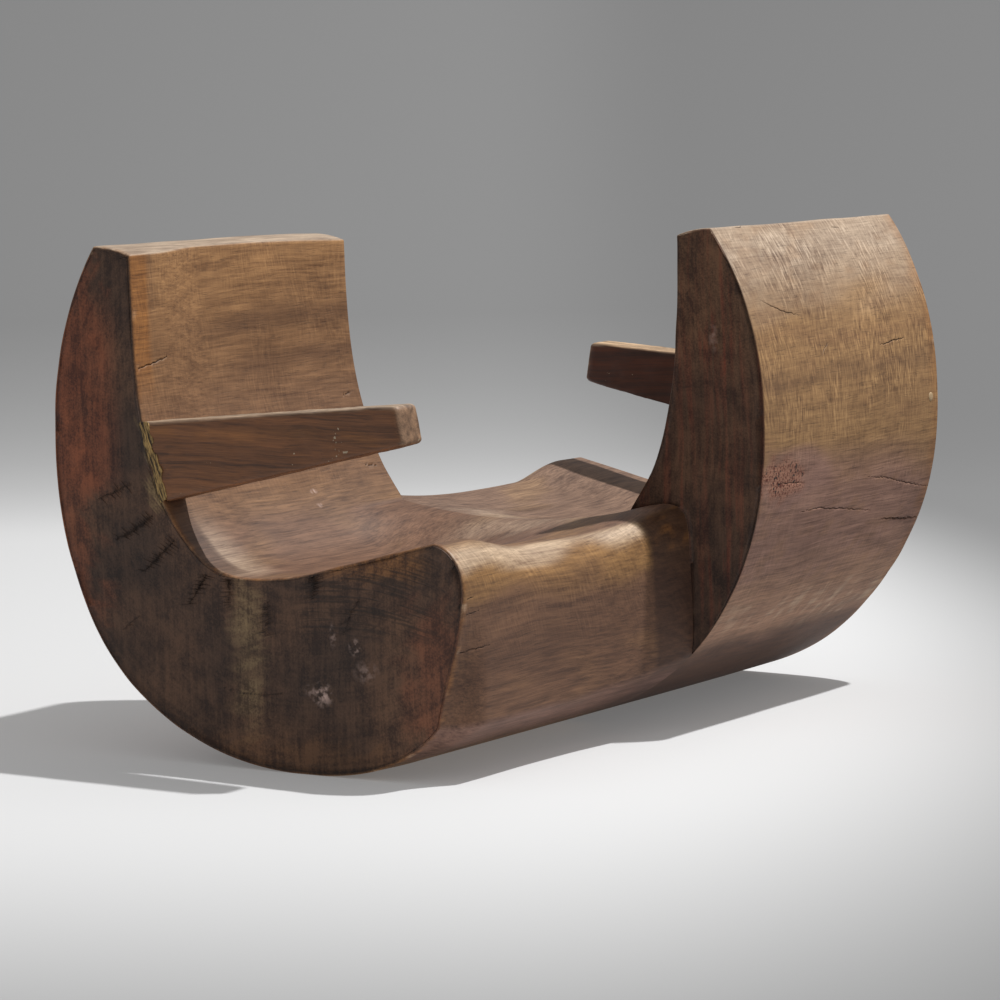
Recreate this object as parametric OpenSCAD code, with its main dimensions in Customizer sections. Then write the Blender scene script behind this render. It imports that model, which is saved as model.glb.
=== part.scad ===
// Tete-a-tete rocking chair carved from one log.
// The log lies across the chair, so its grain runs along Y and its round back is the rocker.
// The two seats lie side by side and face opposite ways: the far one is the near one turned
// half a turn about Z. The near seat has its backrest at -X and faces +X.
// Millimetres. The origin is on the floor, under the middle of the chair.

/* [Log] */
// Width over both seats, along the grain
chair_w = 1296; // [1140:4:1460]
// Thickness of the log from front to back, at its widest
log_depth = 1018; // [960:2:1090]
// Height that the whole round of the log would have
log_height = 1066; // [1010:2:1130]
// Squareness of the round: 2 is an ellipse, more is squarer
log_squareness = 2.15; // [2:0.05:2.4]
// Width of the worn flat that the rocker rests on
rest_flat_w = 60; // [30:2:100]
// Wear on the edges of the two sawn ends
end_wear = 5; // [2:0.5:9]

/* [Backrests] */
// Height of the backrest at its outer end
back_h = 866; // [820:2:900]
// How far the top slopes down from the outside to the inside
back_top_fall = 14; // [4:1:24]
// How much lower the top is beside the other seat
back_top_dip = 8; // [0:1:16]
// How much the top is crowned across its thickness
back_top_crown = 3; // [2:0.5:5]
// Distance of the back's inner face from the middle, at the top
back_top_x = 335; // [320:1:350]
// Distance of the back's inner face from the middle, at the arm
back_arm_x = 306; // [294:1:318]
// Depth of the scoop in the back, behind its flat margin
back_scoop = 26; // [10:1:36]
// Width of the margin that the scoop leaves along the outer end
margin_w = 64; // [62:2:84]

/* [Seats] */
// Height of the front edge, at its outer corner
front_edge_h = 395; // [375:1:415]
// Distance of the front edge from the middle
front_edge_x = 262; // [246:1:276]
// How far the front edge dips for the legs
front_dip = 27; // [10:1:36]
// Height of the lowest line of the seat, at its outer end
seat_low_h = 318; // [300:1:336]
// Distance of that line behind the middle
seat_low_x = 108; // [90:1:126]
// How much deeper the seat is inside than at its outer end
seat_scoop = 8; // [0:1:16]
// Height of the ridge between the two seats
ridge_h = 354; // [344:1:364]
// How far the ridge rises to its two ends
ridge_rise = 26; // [12:1:36]
// Distance from the middle to either end of the ridge
ridge_reach = 239; // [230:1:246]

/* [Fronts] */
// Distance of the front face from the middle, at its fullest
front_x = 320; // [306:1:330]
// Distance of its foot from the middle
front_foot_x = 314; // [296:1:326]
// How much narrower the foot is at the worn outer corner
worn_corner = 34; // [10:1:50]
// How much of the round is worn off under that corner
worn_round = 24; // [6:1:30]
// How far the front face flares out to meet the other backrest
front_flare = 38; // [20:1:50]
// How far its foot flares out there
foot_flare = 43; // [20:1:54]
// Height of the rounding over the front edge
edge_round = 72; // [50:2:90]

/* [Hand carving] */
// How much fuller the near half's round is towards its outer end
near_swell = 8; // [0:1:14]
// How much flatter the far half's round is towards its outer end
far_wear = 12; // [0:1:24]
// How much higher the far back stands beside the near seat
far_back_lift = 12; // [0:1:20]
// How much higher the far arm sits than the near one
far_arm_lift = 8; // [0:1:12]
// How much deeper the far arm is than the near one
far_arm_deeper = 10; // [0:1:14]
// How much further the far arm reaches than the near one
far_arm_longer = 8; // [0:1:12]

/* [Arms] */
// Thickness of an arm
arm_t = 62; // [50:1:62]
// Height of an arm at the backrest
arm_root_h = 133; // [120:1:144]
// Height of an arm at its tip
arm_tip_h = 64; // [50:1:74]
// Height of the arm's top above the floor, at the backrest
arm_top_h = 574; // [560:1:584]
// How far the top rises to the tip
arm_rise = 41; // [16:1:48]
// Distance of the tip past the middle
arm_tip_x = 211; // [170:1:224]
// Roundness of the worn tip
arm_tip_r = 13; // [5:1:20]
// Widest part of the open joint at the near arm, filled with putty
putty_w = 14; // [6:1:18]

/* [Joints] */
// Depth of the flat housing that the arm's end stands in
housing_d = 7; // [6:0.5:12]
// Thickness of the stub tenon
tenon_t = 28; // [22:1:32]
// Height of the stub tenon
tenon_h = 76; // [60:1:84]
// Length of the stub tenon
tenon_l = 70; // [50:1:90]
// Clearance round the tenon
tenon_gap = 0.3; // [0.1:0.1:0.8]
// Diameter of the peg driven in from the back
peg_d = 16; // [12:1:19]
// How far the peg goes into the arm past its shoulder
peg_in_arm = 110; // [80:2:140]
// Clearance round the peg
peg_gap = 0.15; // [0.05:0.05:0.3]

/* [Hidden] */

// The round of the log
half_w = chair_w / 2;
semi_x = log_depth / 2;
semi_z = log_height / 2;
flat_share = pow(rest_flat_w / 2 / semi_x, log_squareness);
flat_drop = semi_z * (1 - pow(1 - flat_share, 1 / log_squareness));
pith_h = semi_z - flat_drop;

// How far along the grain one shape takes to turn into the next
corner_turn = 70;
scoop_run = 170;
blend_run = 260;
flare_run = 430;

// Rise of the front face's first stretch: at the worn corner, along the front, at the middle
worn_knee = [12, 62];
straight_knee = [2, 65];
middle_knee = [10, 52];
// How much squarer the front edge is at the middle, in the near half and the far half
near_crest = 28;
far_crest = 8;
// Share of the back's scoop that is left at the middle, in the near half and the far half
near_scoop_left = 0.7;
far_scoop_left = 0.25;

// Number of steps in each stretch of a cross-section
side_n = 14;
keel_n = 6;
face_n = 5;
edge_n = 6;
seat_n = 12;
back_n = 8;
top_n = 2;

// Places in a cross-section: the far seat's foot, the own foot, and the two ends of the seat
far_foot_i = side_n;
foot_i = side_n + 2 * keel_n + 1;
seat_i = foot_i + face_n + edge_n;
back_i = seat_i + seat_n;
ring_n = back_i + back_n + top_n;

// The arm's middle height at the backrest, and its peg's height a little above
arm_h = arm_top_h - arm_root_h / 2;
tenon_mid_h = arm_h + 4;
peg_h = arm_h + 20;
peg_y = arm_t / 2 - half_w;
peg_proud = 1;
tip_lean = 14;
putty_d = (arm_t - tenon_t) / 2 - 1;
cut_over = 1;

log_brown = [0.45, 0.33, 0.24];
arm_brown = [0.34, 0.23, 0.16];
peg_tan = [0.72, 0.6, 0.46];
putty_tan = [0.66, 0.55, 0.36];

function mix(a, b, t) = a + (b - a) * t;
function clamp(t) = min(1, max(0, t));
function ease(t) = clamp(t) * clamp(t) * (3 - 2 * clamp(t));
function mix_lines(a, b, t) = [for (k = [0 : len(a) - 1]) mix(a[k], b[k], t)];
function part_of(p, from, to) = [for (k = [from : to]) p[k]];
function unit(v) = v / norm(v);

// A cubic curve on four points
function cubic(p, t) = p[0] * pow(1 - t, 3) + p[1] * 3 * t * pow(1 - t, 2)
    + p[2] * 3 * t * t * (1 - t) + p[3] * pow(t, 3);

// A smooth line through points, with n steps between each two
function tangent(p, k) = (p[min(k + 1, len(p) - 1)] - p[max(k - 1, 0)]) / 2;
function span(p, k) = [p[k], p[k] + tangent(p, k) / 3, p[k + 1] - tangent(p, k + 1) / 3, p[k + 1]];
function smooth_line(p, n) = [
    for (k = [0 : len(p) - 2]) for (i = [0 : n - 1]) cubic(span(p, k), i / n),
    p[len(p) - 1]
];

// An arc of radius r in the corner p between its neighbours a and b
function corner_arc(a, p, b, r, n) = let (
    u = unit(a - p),
    v = unit(b - p),
    half = acos(u * v) / 2,
    centre = p + unit(u + v) * r / sin(half),
    start = p + u * r / tan(half) - centre,
    end = p + v * r / tan(half) - centre
) [for (i = [0 : n]) centre + unit(mix(start, end, i / n)) * r];

// The log's outline: a point on it by angle, and the angle of a point by its place
function round_power(v) = sign(v) * pow(abs(v), 2 / log_squareness);
function round_point(a) = [semi_x * round_power(cos(a)), pith_h + semi_z * round_power(sin(a))];
function angle_at_x(x) = acos(pow(abs(x) / semi_x, log_squareness / 2));
function angle_at_h(z) = asin(pow(abs(z - pith_h) / semi_z, log_squareness / 2));
function round_x(z) = round_point(angle_at_h(z))[0];
function turned(p) = [-p[0], p[1]];

// The line from the front edge over the seat and up the back, as nine points
function seat_line(low_h, edge_h, arm_x, top_x, top_h) = [
    [front_edge_x, edge_h],
    [mix(-seat_low_x, front_edge_x, 0.6), mix(low_h, edge_h, 0.52)],
    [mix(-seat_low_x, front_edge_x, 0.18), mix(low_h, edge_h, 0.07)],
    [-mix(seat_low_x, arm_x, 0.28), mix(low_h, arm_h, 0.05)],
    [-mix(seat_low_x, arm_x, 0.66), mix(low_h, arm_h, 0.34)],
    [-mix(seat_low_x, arm_x, 0.93), mix(low_h, arm_h, 0.8)],
    [-mix(arm_x, top_x, 0.54), mix(arm_h, top_h, 0.25)],
    [-mix(arm_x, top_x, 0.88), mix(arm_h, top_h, 0.6)],
    [-top_x, top_h]
];

// The ridge between the seats, from one end to the other
function ridge_point(u) = [ridge_reach * u, ridge_h + ridge_rise * u * u];
ridge_line = [for (i = [0 : seat_n]) ridge_point(1 - 2 * i / seat_n)];

// How far the cross-section at y has gone from one shape to the next
function corner_share(y) = ease((y + half_w) / corner_turn);
function scoop_share(y) = ease((y + half_w - margin_w) / scoop_run);
function meet_share(y) = pow(ease((y + blend_run) / blend_run), 1.5);
function flare_share(y) = pow(clamp((y + flare_run) / flare_run), 2.2);

// The top of the back at y: its outer edge on the round, and its inner edge
top_slope = back_top_fall / (round_x(back_h) - back_top_x);
function outer_top_h(y, h) = back_h - (back_top_dip - h[0]) * pow(1 + y / half_w, 2);
function inner_top_x(y, h) = back_top_x + back_scoop * mix(scoop_share(y), h[3], meet_share(y));
function inner_top_h(y, h) = outer_top_h(y, h) - top_slope * (round_x(outer_top_h(y, h)) - inner_top_x(y, h));

// The seat and the back at y: flat along the outer end, scooped inside, drawn to the ridge
function flat_line(top_h) = seat_line(seat_low_h, front_edge_h, back_arm_x, back_top_x, top_h);
function scooped_line(top_h) = seat_line(seat_low_h - seat_scoop, front_edge_h - front_dip,
    back_arm_x + 0.3 * back_scoop, back_top_x + back_scoop, top_h);
function own_line(y, top_h) = mix_lines(flat_line(top_h), scooped_line(top_h), scoop_share(y));
function middle_line(top_x, top_h) = concat([ridge_point(-1)],
    part_of(seat_line(seat_low_h, front_edge_h, back_arm_x, top_x, top_h), 5, 8));
function seat_run(y, top_h) = mix_lines(part_of(smooth_line(own_line(y, top_h), seat_n / 4), 0, seat_n),
    ridge_line, meet_share(y));
function back_run(y, h) = let (top_h = inner_top_h(y, h)) mix_lines(
    part_of(smooth_line(own_line(y, top_h), back_n / 4), back_n, 2 * back_n),
    smooth_line(middle_line(inner_top_x(y, h), top_h), back_n / 4), meet_share(y));

// The front at y: the face up from its foot on the round, then the edge over to the seat
function foot_x(y) = front_foot_x - worn_corner * (1 - corner_share(y)) + foot_flare * flare_share(y);
function face_x(y) = front_x + front_flare * flare_share(y);
function knee(y) = mix(mix(worn_knee, straight_knee, corner_share(y)), middle_knee, flare_share(y));
function face_curve(foot, knee, x, z) = [foot, foot + knee, [x, mix(foot[1], z, 0.7)], [x, z]];
function edge_curve(x, z, edge, s, crest) = [
    [x, z],
    [x, mix(z, edge[1], mix(0.55, 1.26, s))],
    [mix(edge[0], x, mix(0.52, 0.9, s)), edge[1] + crest * s],
    edge
];
function foot_point(y) = eased_in(round_point(-angle_at_x(foot_x(y))), worn_round * (1 - corner_share(y)));
function front_run(y, edge, crest) = let (
    face = face_curve(foot_point(y), knee(y), face_x(y), edge[1] - edge_round),
    over = edge_curve(face_x(y), edge[1] - edge_round, edge, flare_share(y), crest)
) concat([for (i = [0 : face_n - 1]) cubic(face, i / face_n)],
    [for (i = [0 : edge_n - 1]) cubic(over, i / edge_n)]);

// The round at y: down the back of the log, and under it to the front's foot
middle_foot_x = front_foot_x + foot_flare;
function side_run(y, top_h) = let (top = angle_at_h(top_h), foot = -angle_at_x(middle_foot_x))
    [for (i = [0 : side_n - 1]) turned(round_point(mix(top, foot, i / side_n)))];
function keel_half(x) = let (flat = -angle_at_x(rest_flat_w / 2), foot = -angle_at_x(x))
    [for (i = [0 : keel_n]) round_point(mix(flat, foot, i / keel_n))];
keel_far_half = [for (i = [keel_n : -1 : 0]) turned(keel_half(middle_foot_x)[i])];
function top_run(inner, outer) = [for (i = [1 : top_n - 1]) let (t = i / top_n)
    mix(inner, outer, t) + [0, back_top_crown * 4 * t * (1 - t)]];

// What carving by hand took off or left: a point moved in towards the pith
function eased_in(p, d) = p - unit(p - [0, pith_h]) * d;
function keel_own_half(y) = let (p = keel_half(foot_x(y)))
    [for (i = [0 : keel_n - 1]) eased_in(p[i], worn_round * (1 - corner_share(y)) * pow(i / keel_n, 3))];
function swell_at(p) = pow(clamp((pith_h - p[1]) / semi_z * 1.6), 2) * pow(clamp(-p[0] / semi_x * 1.4), 2);
function swollen(run, y, d) = [for (p = run) eased_in(p, -d * swell_at(p) * pow(-y / half_w, 3))];

// The whole cross-section at y of a half, seen from its outer end, anticlockwise. The half is
// given by its lift of the top at the middle, its swell, its crest and what is left of its scoop
near_half = [0, near_swell, near_crest, near_scoop_left];
far_half = [far_back_lift, -far_wear, far_crest, far_scoop_left];
function section(y, h) = let (
    side = side_run(y, outer_top_h(y, h)),
    seat = seat_run(y, inner_top_h(y, h)),
    back = back_run(y, h)
) concat(
    swollen(concat(side, keel_far_half), y, h[1]),
    keel_own_half(y),
    front_run(y, seat[0], h[2]),
    seat,
    part_of(back, 1, back_n),
    top_run(back[back_n], side[0])
);

// The same drawn in by d all round
function inward(p, k) = let (along = unit(p[(k + 1) % len(p)] - p[(k + len(p) - 1) % len(p)])) [-along[1], along[0]];
function drawn_in(p, d) = [for (k = [0 : len(p) - 1]) p[k] + inward(p, k) * d];

// Where the cross-sections stand: round the worn end, over the margin and the scoop, to the ridge
plain_run = half_w - margin_w - scoop_run - blend_run;
stations = concat(
    [for (s = [0.5, 1]) margin_w * s - half_w],
    [for (i = [1 : 4]) margin_w + scoop_run * i / 4 - half_w],
    [for (i = [1 : 2]) margin_w + scoop_run + plain_run * i / 2 - half_w],
    [for (i = [1 : 8]) blend_run * (i / 8 - 1)]
);
worn_angles = [0, 90];
function at(p, y) = [for (q = p) [q[0], y, q[1]]];
function rings(h) = concat(
    [for (a = worn_angles) let (y = end_wear * (1 - cos(a)) - half_w)
        at(drawn_in(section(y, h), end_wear * (1 - sin(a))), y)],
    [for (y = stations) at(section(y, h), y)]
);
ring_count = len(worn_angles) + len(stations);
near_points = [for (ring = rings(near_half)) for (p = ring) p];
far_points = [for (ring = rings(far_half)) for (p = ring) [-p[0], -p[1], p[2]]];

// Number of a point: the halves share the keel and the ridge of their middle cross-section
far_start = ring_count * ring_n;
middle_start = (ring_count - 1) * ring_n;
function shared(k) = k >= far_foot_i && k <= foot_i ? far_foot_i + foot_i - k
    : k >= seat_i && k <= back_i ? seat_i + back_i - k : -1;
function near_i(ring, k) = ring * ring_n + k % ring_n;
function far_i(ring, k) = ring == ring_count - 1 && shared(k % ring_n) >= 0
    ? middle_start + shared(k % ring_n) : far_start + ring * ring_n + k % ring_n;

// Triangles that fill the flat between two lines of points, which start and end at shared points
function strip(a, b, i = 0, j = 0) = let (m = len(a) - 1, n = len(b) - 1)
    i == m && j == n ? []
    : j == n || (i < m && (i + 1) * n <= (j + 1) * m)
        ? concat([[a[i], a[i + 1], b[j]]], strip(a, b, i + 1, j))
        : concat([[a[i], b[j + 1], b[j]]], strip(a, b, i, j + 1));
function filled(start, a, b, end) =
    concat([[start, a[0], b[0]]], strip(a, b), [[a[len(a) - 1], end, b[len(b) - 1]]]);
function turned_over(faces) = [for (f = faces) [f[2], f[1], f[0]]];

// The two sawn ends, and the flats at the middle where each back stands past the other's front
near_end = turned_over(filled(near_i(0, 0), [for (k = [1 : foot_i - 1]) near_i(0, k)],
    [for (k = [ring_n - 1 : -1 : foot_i + 1]) near_i(0, k)], near_i(0, foot_i)));
far_end = turned_over(filled(far_i(0, 0), [for (k = [1 : foot_i - 1]) far_i(0, k)],
    [for (k = [ring_n - 1 : -1 : foot_i + 1]) far_i(0, k)], far_i(0, foot_i)));
last_ring = ring_count - 1;
near_middle = filled(near_i(last_ring, 0), [for (k = [1 : far_foot_i - 1]) near_i(last_ring, k)],
    concat([for (k = [ring_n - 1 : -1 : back_i]) near_i(last_ring, k)],
        [for (k = [seat_i - 1 : -1 : foot_i + 1]) far_i(last_ring, k)]), near_i(last_ring, far_foot_i));
far_middle = filled(far_i(last_ring, 0), [for (k = [1 : far_foot_i - 1]) far_i(last_ring, k)],
    concat([for (k = [ring_n - 1 : -1 : back_i]) far_i(last_ring, k)],
        [for (k = [seat_i - 1 : -1 : foot_i + 1]) near_i(last_ring, k)]), far_i(last_ring, far_foot_i));

log_faces = concat(
    near_end,
    far_end,
    near_middle,
    far_middle,
    [for (r = [0 : ring_count - 2]) for (k = [0 : ring_n - 1])
        [near_i(r, k), near_i(r, k + 1), near_i(r + 1, k + 1), near_i(r + 1, k)]],
    [for (r = [0 : ring_count - 2]) for (k = [0 : ring_n - 1])
        [far_i(r, k), far_i(r, k + 1), far_i(r + 1, k + 1), far_i(r + 1, k)]]
);

// The arm's shoulder: a plane along the back's margin, sunk by its housing
end_line = smooth_line(flat_line(inner_top_h(-half_w, near_half)), back_n / 4);
margin_line = [for (p = end_line) if (p[0] < -seat_low_x) [p[1], p[0]]];
shoulder_top = [lookup(arm_top_h, margin_line), arm_top_h];
shoulder_foot = [lookup(arm_top_h - arm_root_h, margin_line), arm_top_h - arm_root_h];
shoulder_up = unit(shoulder_top - shoulder_foot);
shoulder_out = [shoulder_up[1], -shoulder_up[0]];
far_lift = shoulder_up * far_arm_lift;
shoulder_x = mix(shoulder_foot[0], shoulder_top[0], (peg_h - shoulder_foot[1]) / arm_root_h)
    - housing_d / shoulder_out[0];

// The arm's side outline, from the foot of the shoulder to the tip and back along the top. An arm
// is given by how much deeper and longer it is than the near one
near_arm_more = [0, 0];
far_arm_more = [far_arm_deeper, far_arm_longer];
arm_top = shoulder_top - shoulder_out * housing_d;
function arm_foot(m) = shoulder_foot - shoulder_out * housing_d - shoulder_up * m[0];
function tip_top(m) = [arm_tip_x + m[1] - tip_lean, arm_top_h + arm_rise];
function tip_foot(m) = [arm_tip_x + m[1], arm_top_h + arm_rise - arm_tip_h - m[0]];
function arm_outline(m) = concat(
    [arm_foot(m)],
    corner_arc(arm_foot(m), tip_foot(m), tip_top(m), arm_tip_r, 6),
    corner_arc(tip_foot(m), tip_top(m), arm_top, arm_tip_r * 0.7, 6),
    [arm_top]
);

// The housing's outline: the arm's end, a short way out from the shoulder
housing_reach = 40;
function housing_outline(m) = [
    arm_foot(m),
    arm_foot(m) + unit(tip_foot(m) - arm_foot(m)) * housing_reach,
    arm_top + unit(tip_top(m) - arm_top) * housing_reach,
    arm_top
];

// A flat outline in X and Z made t thick, from y
module upright(y, t) {
    translate([0, y + t, 0]) rotate([90, 0, 0]) linear_extrude(t) children();
}

// A rod along X from one place to another, on the peg's axis
module peg_rod(from, to, d) {
    translate([from, peg_y, peg_h]) rotate([0, 90, 0]) cylinder(d = d, h = to - from, $fn = 48);
}

// The tenon's block, grown by a gap, from its end to a place inside the arm
module tenon_block(gap) {
    reach = shoulder_x + 24;
    start = shoulder_x - tenon_l - gap;
    translate([start, peg_y - tenon_t / 2 - gap, tenon_mid_h - tenon_h / 2 - gap])
        cube([reach - start, tenon_t + 2 * gap, tenon_h + 2 * gap]);
}

// The joint as cut into the log: the housing, the mortise and the bore for the peg
module arm_joint_cut(more) {
    upright(-half_w - cut_over, arm_t + cut_over) polygon(housing_outline(more));
    tenon_block(tenon_gap);
    peg_rod(-semi_x - cut_over, shoulder_x, peg_d + 2 * peg_gap);
}

// The arm's blank: its side outline, with the tip rounded in plan too
module arm_blank(more) {
    tip_x = arm_tip_x + more[1];
    intersection() {
        upright(-half_w, arm_t) polygon(arm_outline(more));
        linear_extrude(back_h) polygon(concat(
            [[-semi_x, -half_w]],
            corner_arc([0, -half_w], [tip_x, -half_w], [tip_x, 0], arm_tip_r, 6),
            corner_arc([tip_x, -half_w], [tip_x, arm_t - half_w], [0, arm_t - half_w], arm_tip_r, 6),
            [[-semi_x, arm_t - half_w]]
        ));
    }
}

// The far side: turned half a turn, and lifted along the shoulder
module to_far_side() {
    rotate([0, 0, 180]) translate([far_lift[0], 0, far_lift[1]]) children();
}

// The wedge between the shoulder and the near arm's bevelled end
module putty_wedge() {
    length = norm(shoulder_top - shoulder_foot);
    foot = arm_foot(near_arm_more);
    translate([foot[0], 0, foot[1]])
        rotate([0, atan2(shoulder_up[0], shoulder_up[1]), 0])
            translate([0, 0, -length / 2]) linear_extrude(2 * length)
                polygon([[0, -half_w - cut_over], [putty_w * (1 + cut_over / putty_d), -half_w - cut_over],
                    [0, putty_d - half_w]]);
}

module arm(more) {
    difference() {
        union() {
            arm_blank(more);
            tenon_block(0);
        }
        peg_rod(shoulder_x - tenon_l - cut_over, shoulder_x + peg_in_arm + cut_over, peg_d + 2 * peg_gap);
    }
}

// Ends just proud of the log's round at the height the arm is lifted to
module arm_peg(lift) {
    peg_rod(-round_x(peg_h + lift[1]) - peg_proud - lift[0], shoulder_x + peg_in_arm, peg_d);
}

module log_body() {
    color(log_brown) difference() {
        polyhedron(concat(near_points, far_points), log_faces, convexity = 6);
        arm_joint_cut(near_arm_more);
        to_far_side() arm_joint_cut(far_arm_more);
    }
}

module near_arm() {
    color(arm_brown) difference() {
        arm(near_arm_more);
        putty_wedge();
    }
}

module near_arm_peg() {
    color(peg_tan) arm_peg([0, 0]);
}

module near_arm_putty() {
    color(putty_tan) intersection() {
        arm_blank(near_arm_more);
        putty_wedge();
    }
}

module far_arm() {
    color(arm_brown) to_far_side() arm(far_arm_more);
}

module far_arm_peg() {
    color(peg_tan) to_far_side() arm_peg(far_lift);
}

log_body();
near_arm();
near_arm_peg();
near_arm_putty();
far_arm();
far_arm_peg();
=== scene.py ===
"""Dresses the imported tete-a-tete rocking chair: one carved log, two arms, two pegs and a putty joint.

The chair stands in metres in the frame of the CAD model, with the grain of the log along Y. The shape
of the log is worked out again here in millimetres, from the values that the part's source has, on a
finer grid. It then gets the waves, cracks and worn edges that the solid leaves out.
"""
import math

import bpy
import numpy as np
from bpy.props import FloatProperty, FloatVectorProperty, PointerProperty
from mathutils import Matrix, Vector
from mathutils.bvhtree import BVHTree


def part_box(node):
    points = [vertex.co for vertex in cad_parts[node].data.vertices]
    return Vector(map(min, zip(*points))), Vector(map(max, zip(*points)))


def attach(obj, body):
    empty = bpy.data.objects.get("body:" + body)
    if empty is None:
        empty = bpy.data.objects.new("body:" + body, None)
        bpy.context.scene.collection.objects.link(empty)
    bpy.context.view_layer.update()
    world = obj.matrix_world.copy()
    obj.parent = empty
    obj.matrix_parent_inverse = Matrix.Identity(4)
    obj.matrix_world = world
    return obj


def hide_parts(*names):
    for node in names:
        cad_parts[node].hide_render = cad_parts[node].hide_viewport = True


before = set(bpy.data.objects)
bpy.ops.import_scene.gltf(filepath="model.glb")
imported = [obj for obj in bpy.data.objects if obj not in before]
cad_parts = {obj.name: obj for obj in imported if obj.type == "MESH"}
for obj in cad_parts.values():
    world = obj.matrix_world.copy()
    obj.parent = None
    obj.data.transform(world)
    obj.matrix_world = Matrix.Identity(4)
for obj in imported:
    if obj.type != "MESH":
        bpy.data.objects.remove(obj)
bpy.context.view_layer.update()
LOG_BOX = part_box("log_body")

bl_info = {
    "name": "Tete-a-tete rocking chair",
    "version": (1, 0, 0),
    "blender": (4, 5, 0),
    "location": "3D View > Sidebar > Rocking chair",
    "description": "Builds the visible pieces, finishes and stage of a carved two-seat rocking chair",
    "category": "Add Mesh",
}

# Sizes of the log in millimetres
HALF_W = (LOG_BOX[1][1] - LOG_BOX[0][1]) * 500
SEMI_X = 509.0
SEMI_Z = 533.0
SQUARENESS = 2.15
REST_FLAT_W = 60.0
END_WEAR = 5.0
MIDDLE_WEAR = 3.0
BACK_H = 866.0
BACK_TOP_FALL = 14.0
BACK_TOP_DIP = 8.0
BACK_TOP_CROWN = 3.0
BACK_TOP_X = 335.0
BACK_ARM_X = 306.0
BACK_SCOOP = 26.0
MARGIN_W = 64.0
FRONT_EDGE_H = 395.0
FRONT_EDGE_X = 262.0
FRONT_DIP = 27.0
SEAT_LOW_H = 318.0
SEAT_LOW_X = 108.0
SEAT_SCOOP = 8.0
RIDGE_H = 354.0
RIDGE_RISE = 26.0
RIDGE_REACH = 239.0
FRONT_X = 320.0
FRONT_FOOT_X = 314.0
WORN_CORNER = 34.0
WORN_ROUND = 24.0
FRONT_FLARE = 38.0
FOOT_FLARE = 43.0
EDGE_ROUND = 72.0
CORNER_TURN = 70.0
SCOOP_RUN = 170.0
BLEND_RUN = 260.0
FLARE_RUN = 430.0
WORN_KNEE = (12.0, 62.0)
STRAIGHT_KNEE = (2.0, 65.0)
MIDDLE_KNEE = (10.0, 52.0)

# Each half's lift of the top at the middle, swell of the round, crest of the front edge, and the
# share of the back's scoop that is left at the middle
NEAR_HALF = (0.0, 8.0, 28.0, 0.7)
FAR_HALF = (12.0, -12.0, 8.0, 0.25)

# Sizes of the arms in millimetres
ARM_T = 62.0
ARM_ROOT_H = 133.0
ARM_TIP_H = 64.0
ARM_TOP_H = 574.0
ARM_H = ARM_TOP_H - ARM_ROOT_H / 2
ARM_RISE = 41.0
ARM_TIP_X = 211.0
ARM_TIP_R = 13.0
ARM_TIP_LEAN = 14.0
ARM_EDGE_R = 4.5
HOUSING_D = 7.0
ARM_BOX_H = 96.0
FAR_ARM_LIFT = 8.0
FAR_ARM_DEEPER = 10.0
FAR_ARM_LONGER = 8.0

# What each arm's colour is multiplied by: all of it, and its bleached top. The far arm's
# first tone is painted shade all over, and its second is painted light on its top
NEAR_ARM_TONES = ((1, 1, 1), (1, 1, 1))
FAR_ARM_SHADE_TONES = ((0.43, 0.26, 0.15), (1.3, 1.18, 1.0))

# Sizes of the putty and the pegs in millimetres
PUTTY_W = 14.0
PUTTY_D = 16.0
PUTTY_PAST_FOOT = 1.0
PUTTY_PAST_TOP = 2.0
PUTTY_BULGE = 2.0
PEG_D = 16.0
PEG_H = ARM_H + 20
PEG_PROUD = 1.0
PEG_IN_ARM = 110.0
PEG_STRAIGHT = 8.0

# Height above the floor of the pith, the middle of the log
FLAT_SHARE = (REST_FLAT_W / 2 / SEMI_X) ** SQUARENESS
PITH_H = SEMI_Z - SEMI_Z * (1 - (1 - FLAT_SHARE) ** (1 / SQUARENESS))

# Steps of the grid in each stretch of a cross-section: the two chains of a sawn end are then
# equally long, and so are the two of each flat at the middle
SIDE_N = 100
KEEL_N = 30
FACE_N = 26
EDGE_N = 22
SEAT_N = 61
BACK_N = 44
TOP_N = 8
FAR_FOOT_I = SIDE_N
FOOT_I = SIDE_N + 2 * KEEL_N + 1
SEAT_I = FOOT_I + FACE_N + EDGE_N
BACK_I = SEAT_I + SEAT_N
TOP_I = BACK_I + BACK_N
RING_N = TOP_I + TOP_N
RING_COUNT = 80
END_ACROSS = 22
MIDDLE_ACROSS = 14
END_ROUND_N = 6
MIDDLE_ROUND_N = 4

# Steps of an arm along, across and up, and of the peg and the putty along and round
ARM_STEPS = (90, 14, 20)
PEG_N = 6
PEG_ROUND_N = 40
PUTTY_N = 70
PUTTY_ROUND_N = 28

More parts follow.
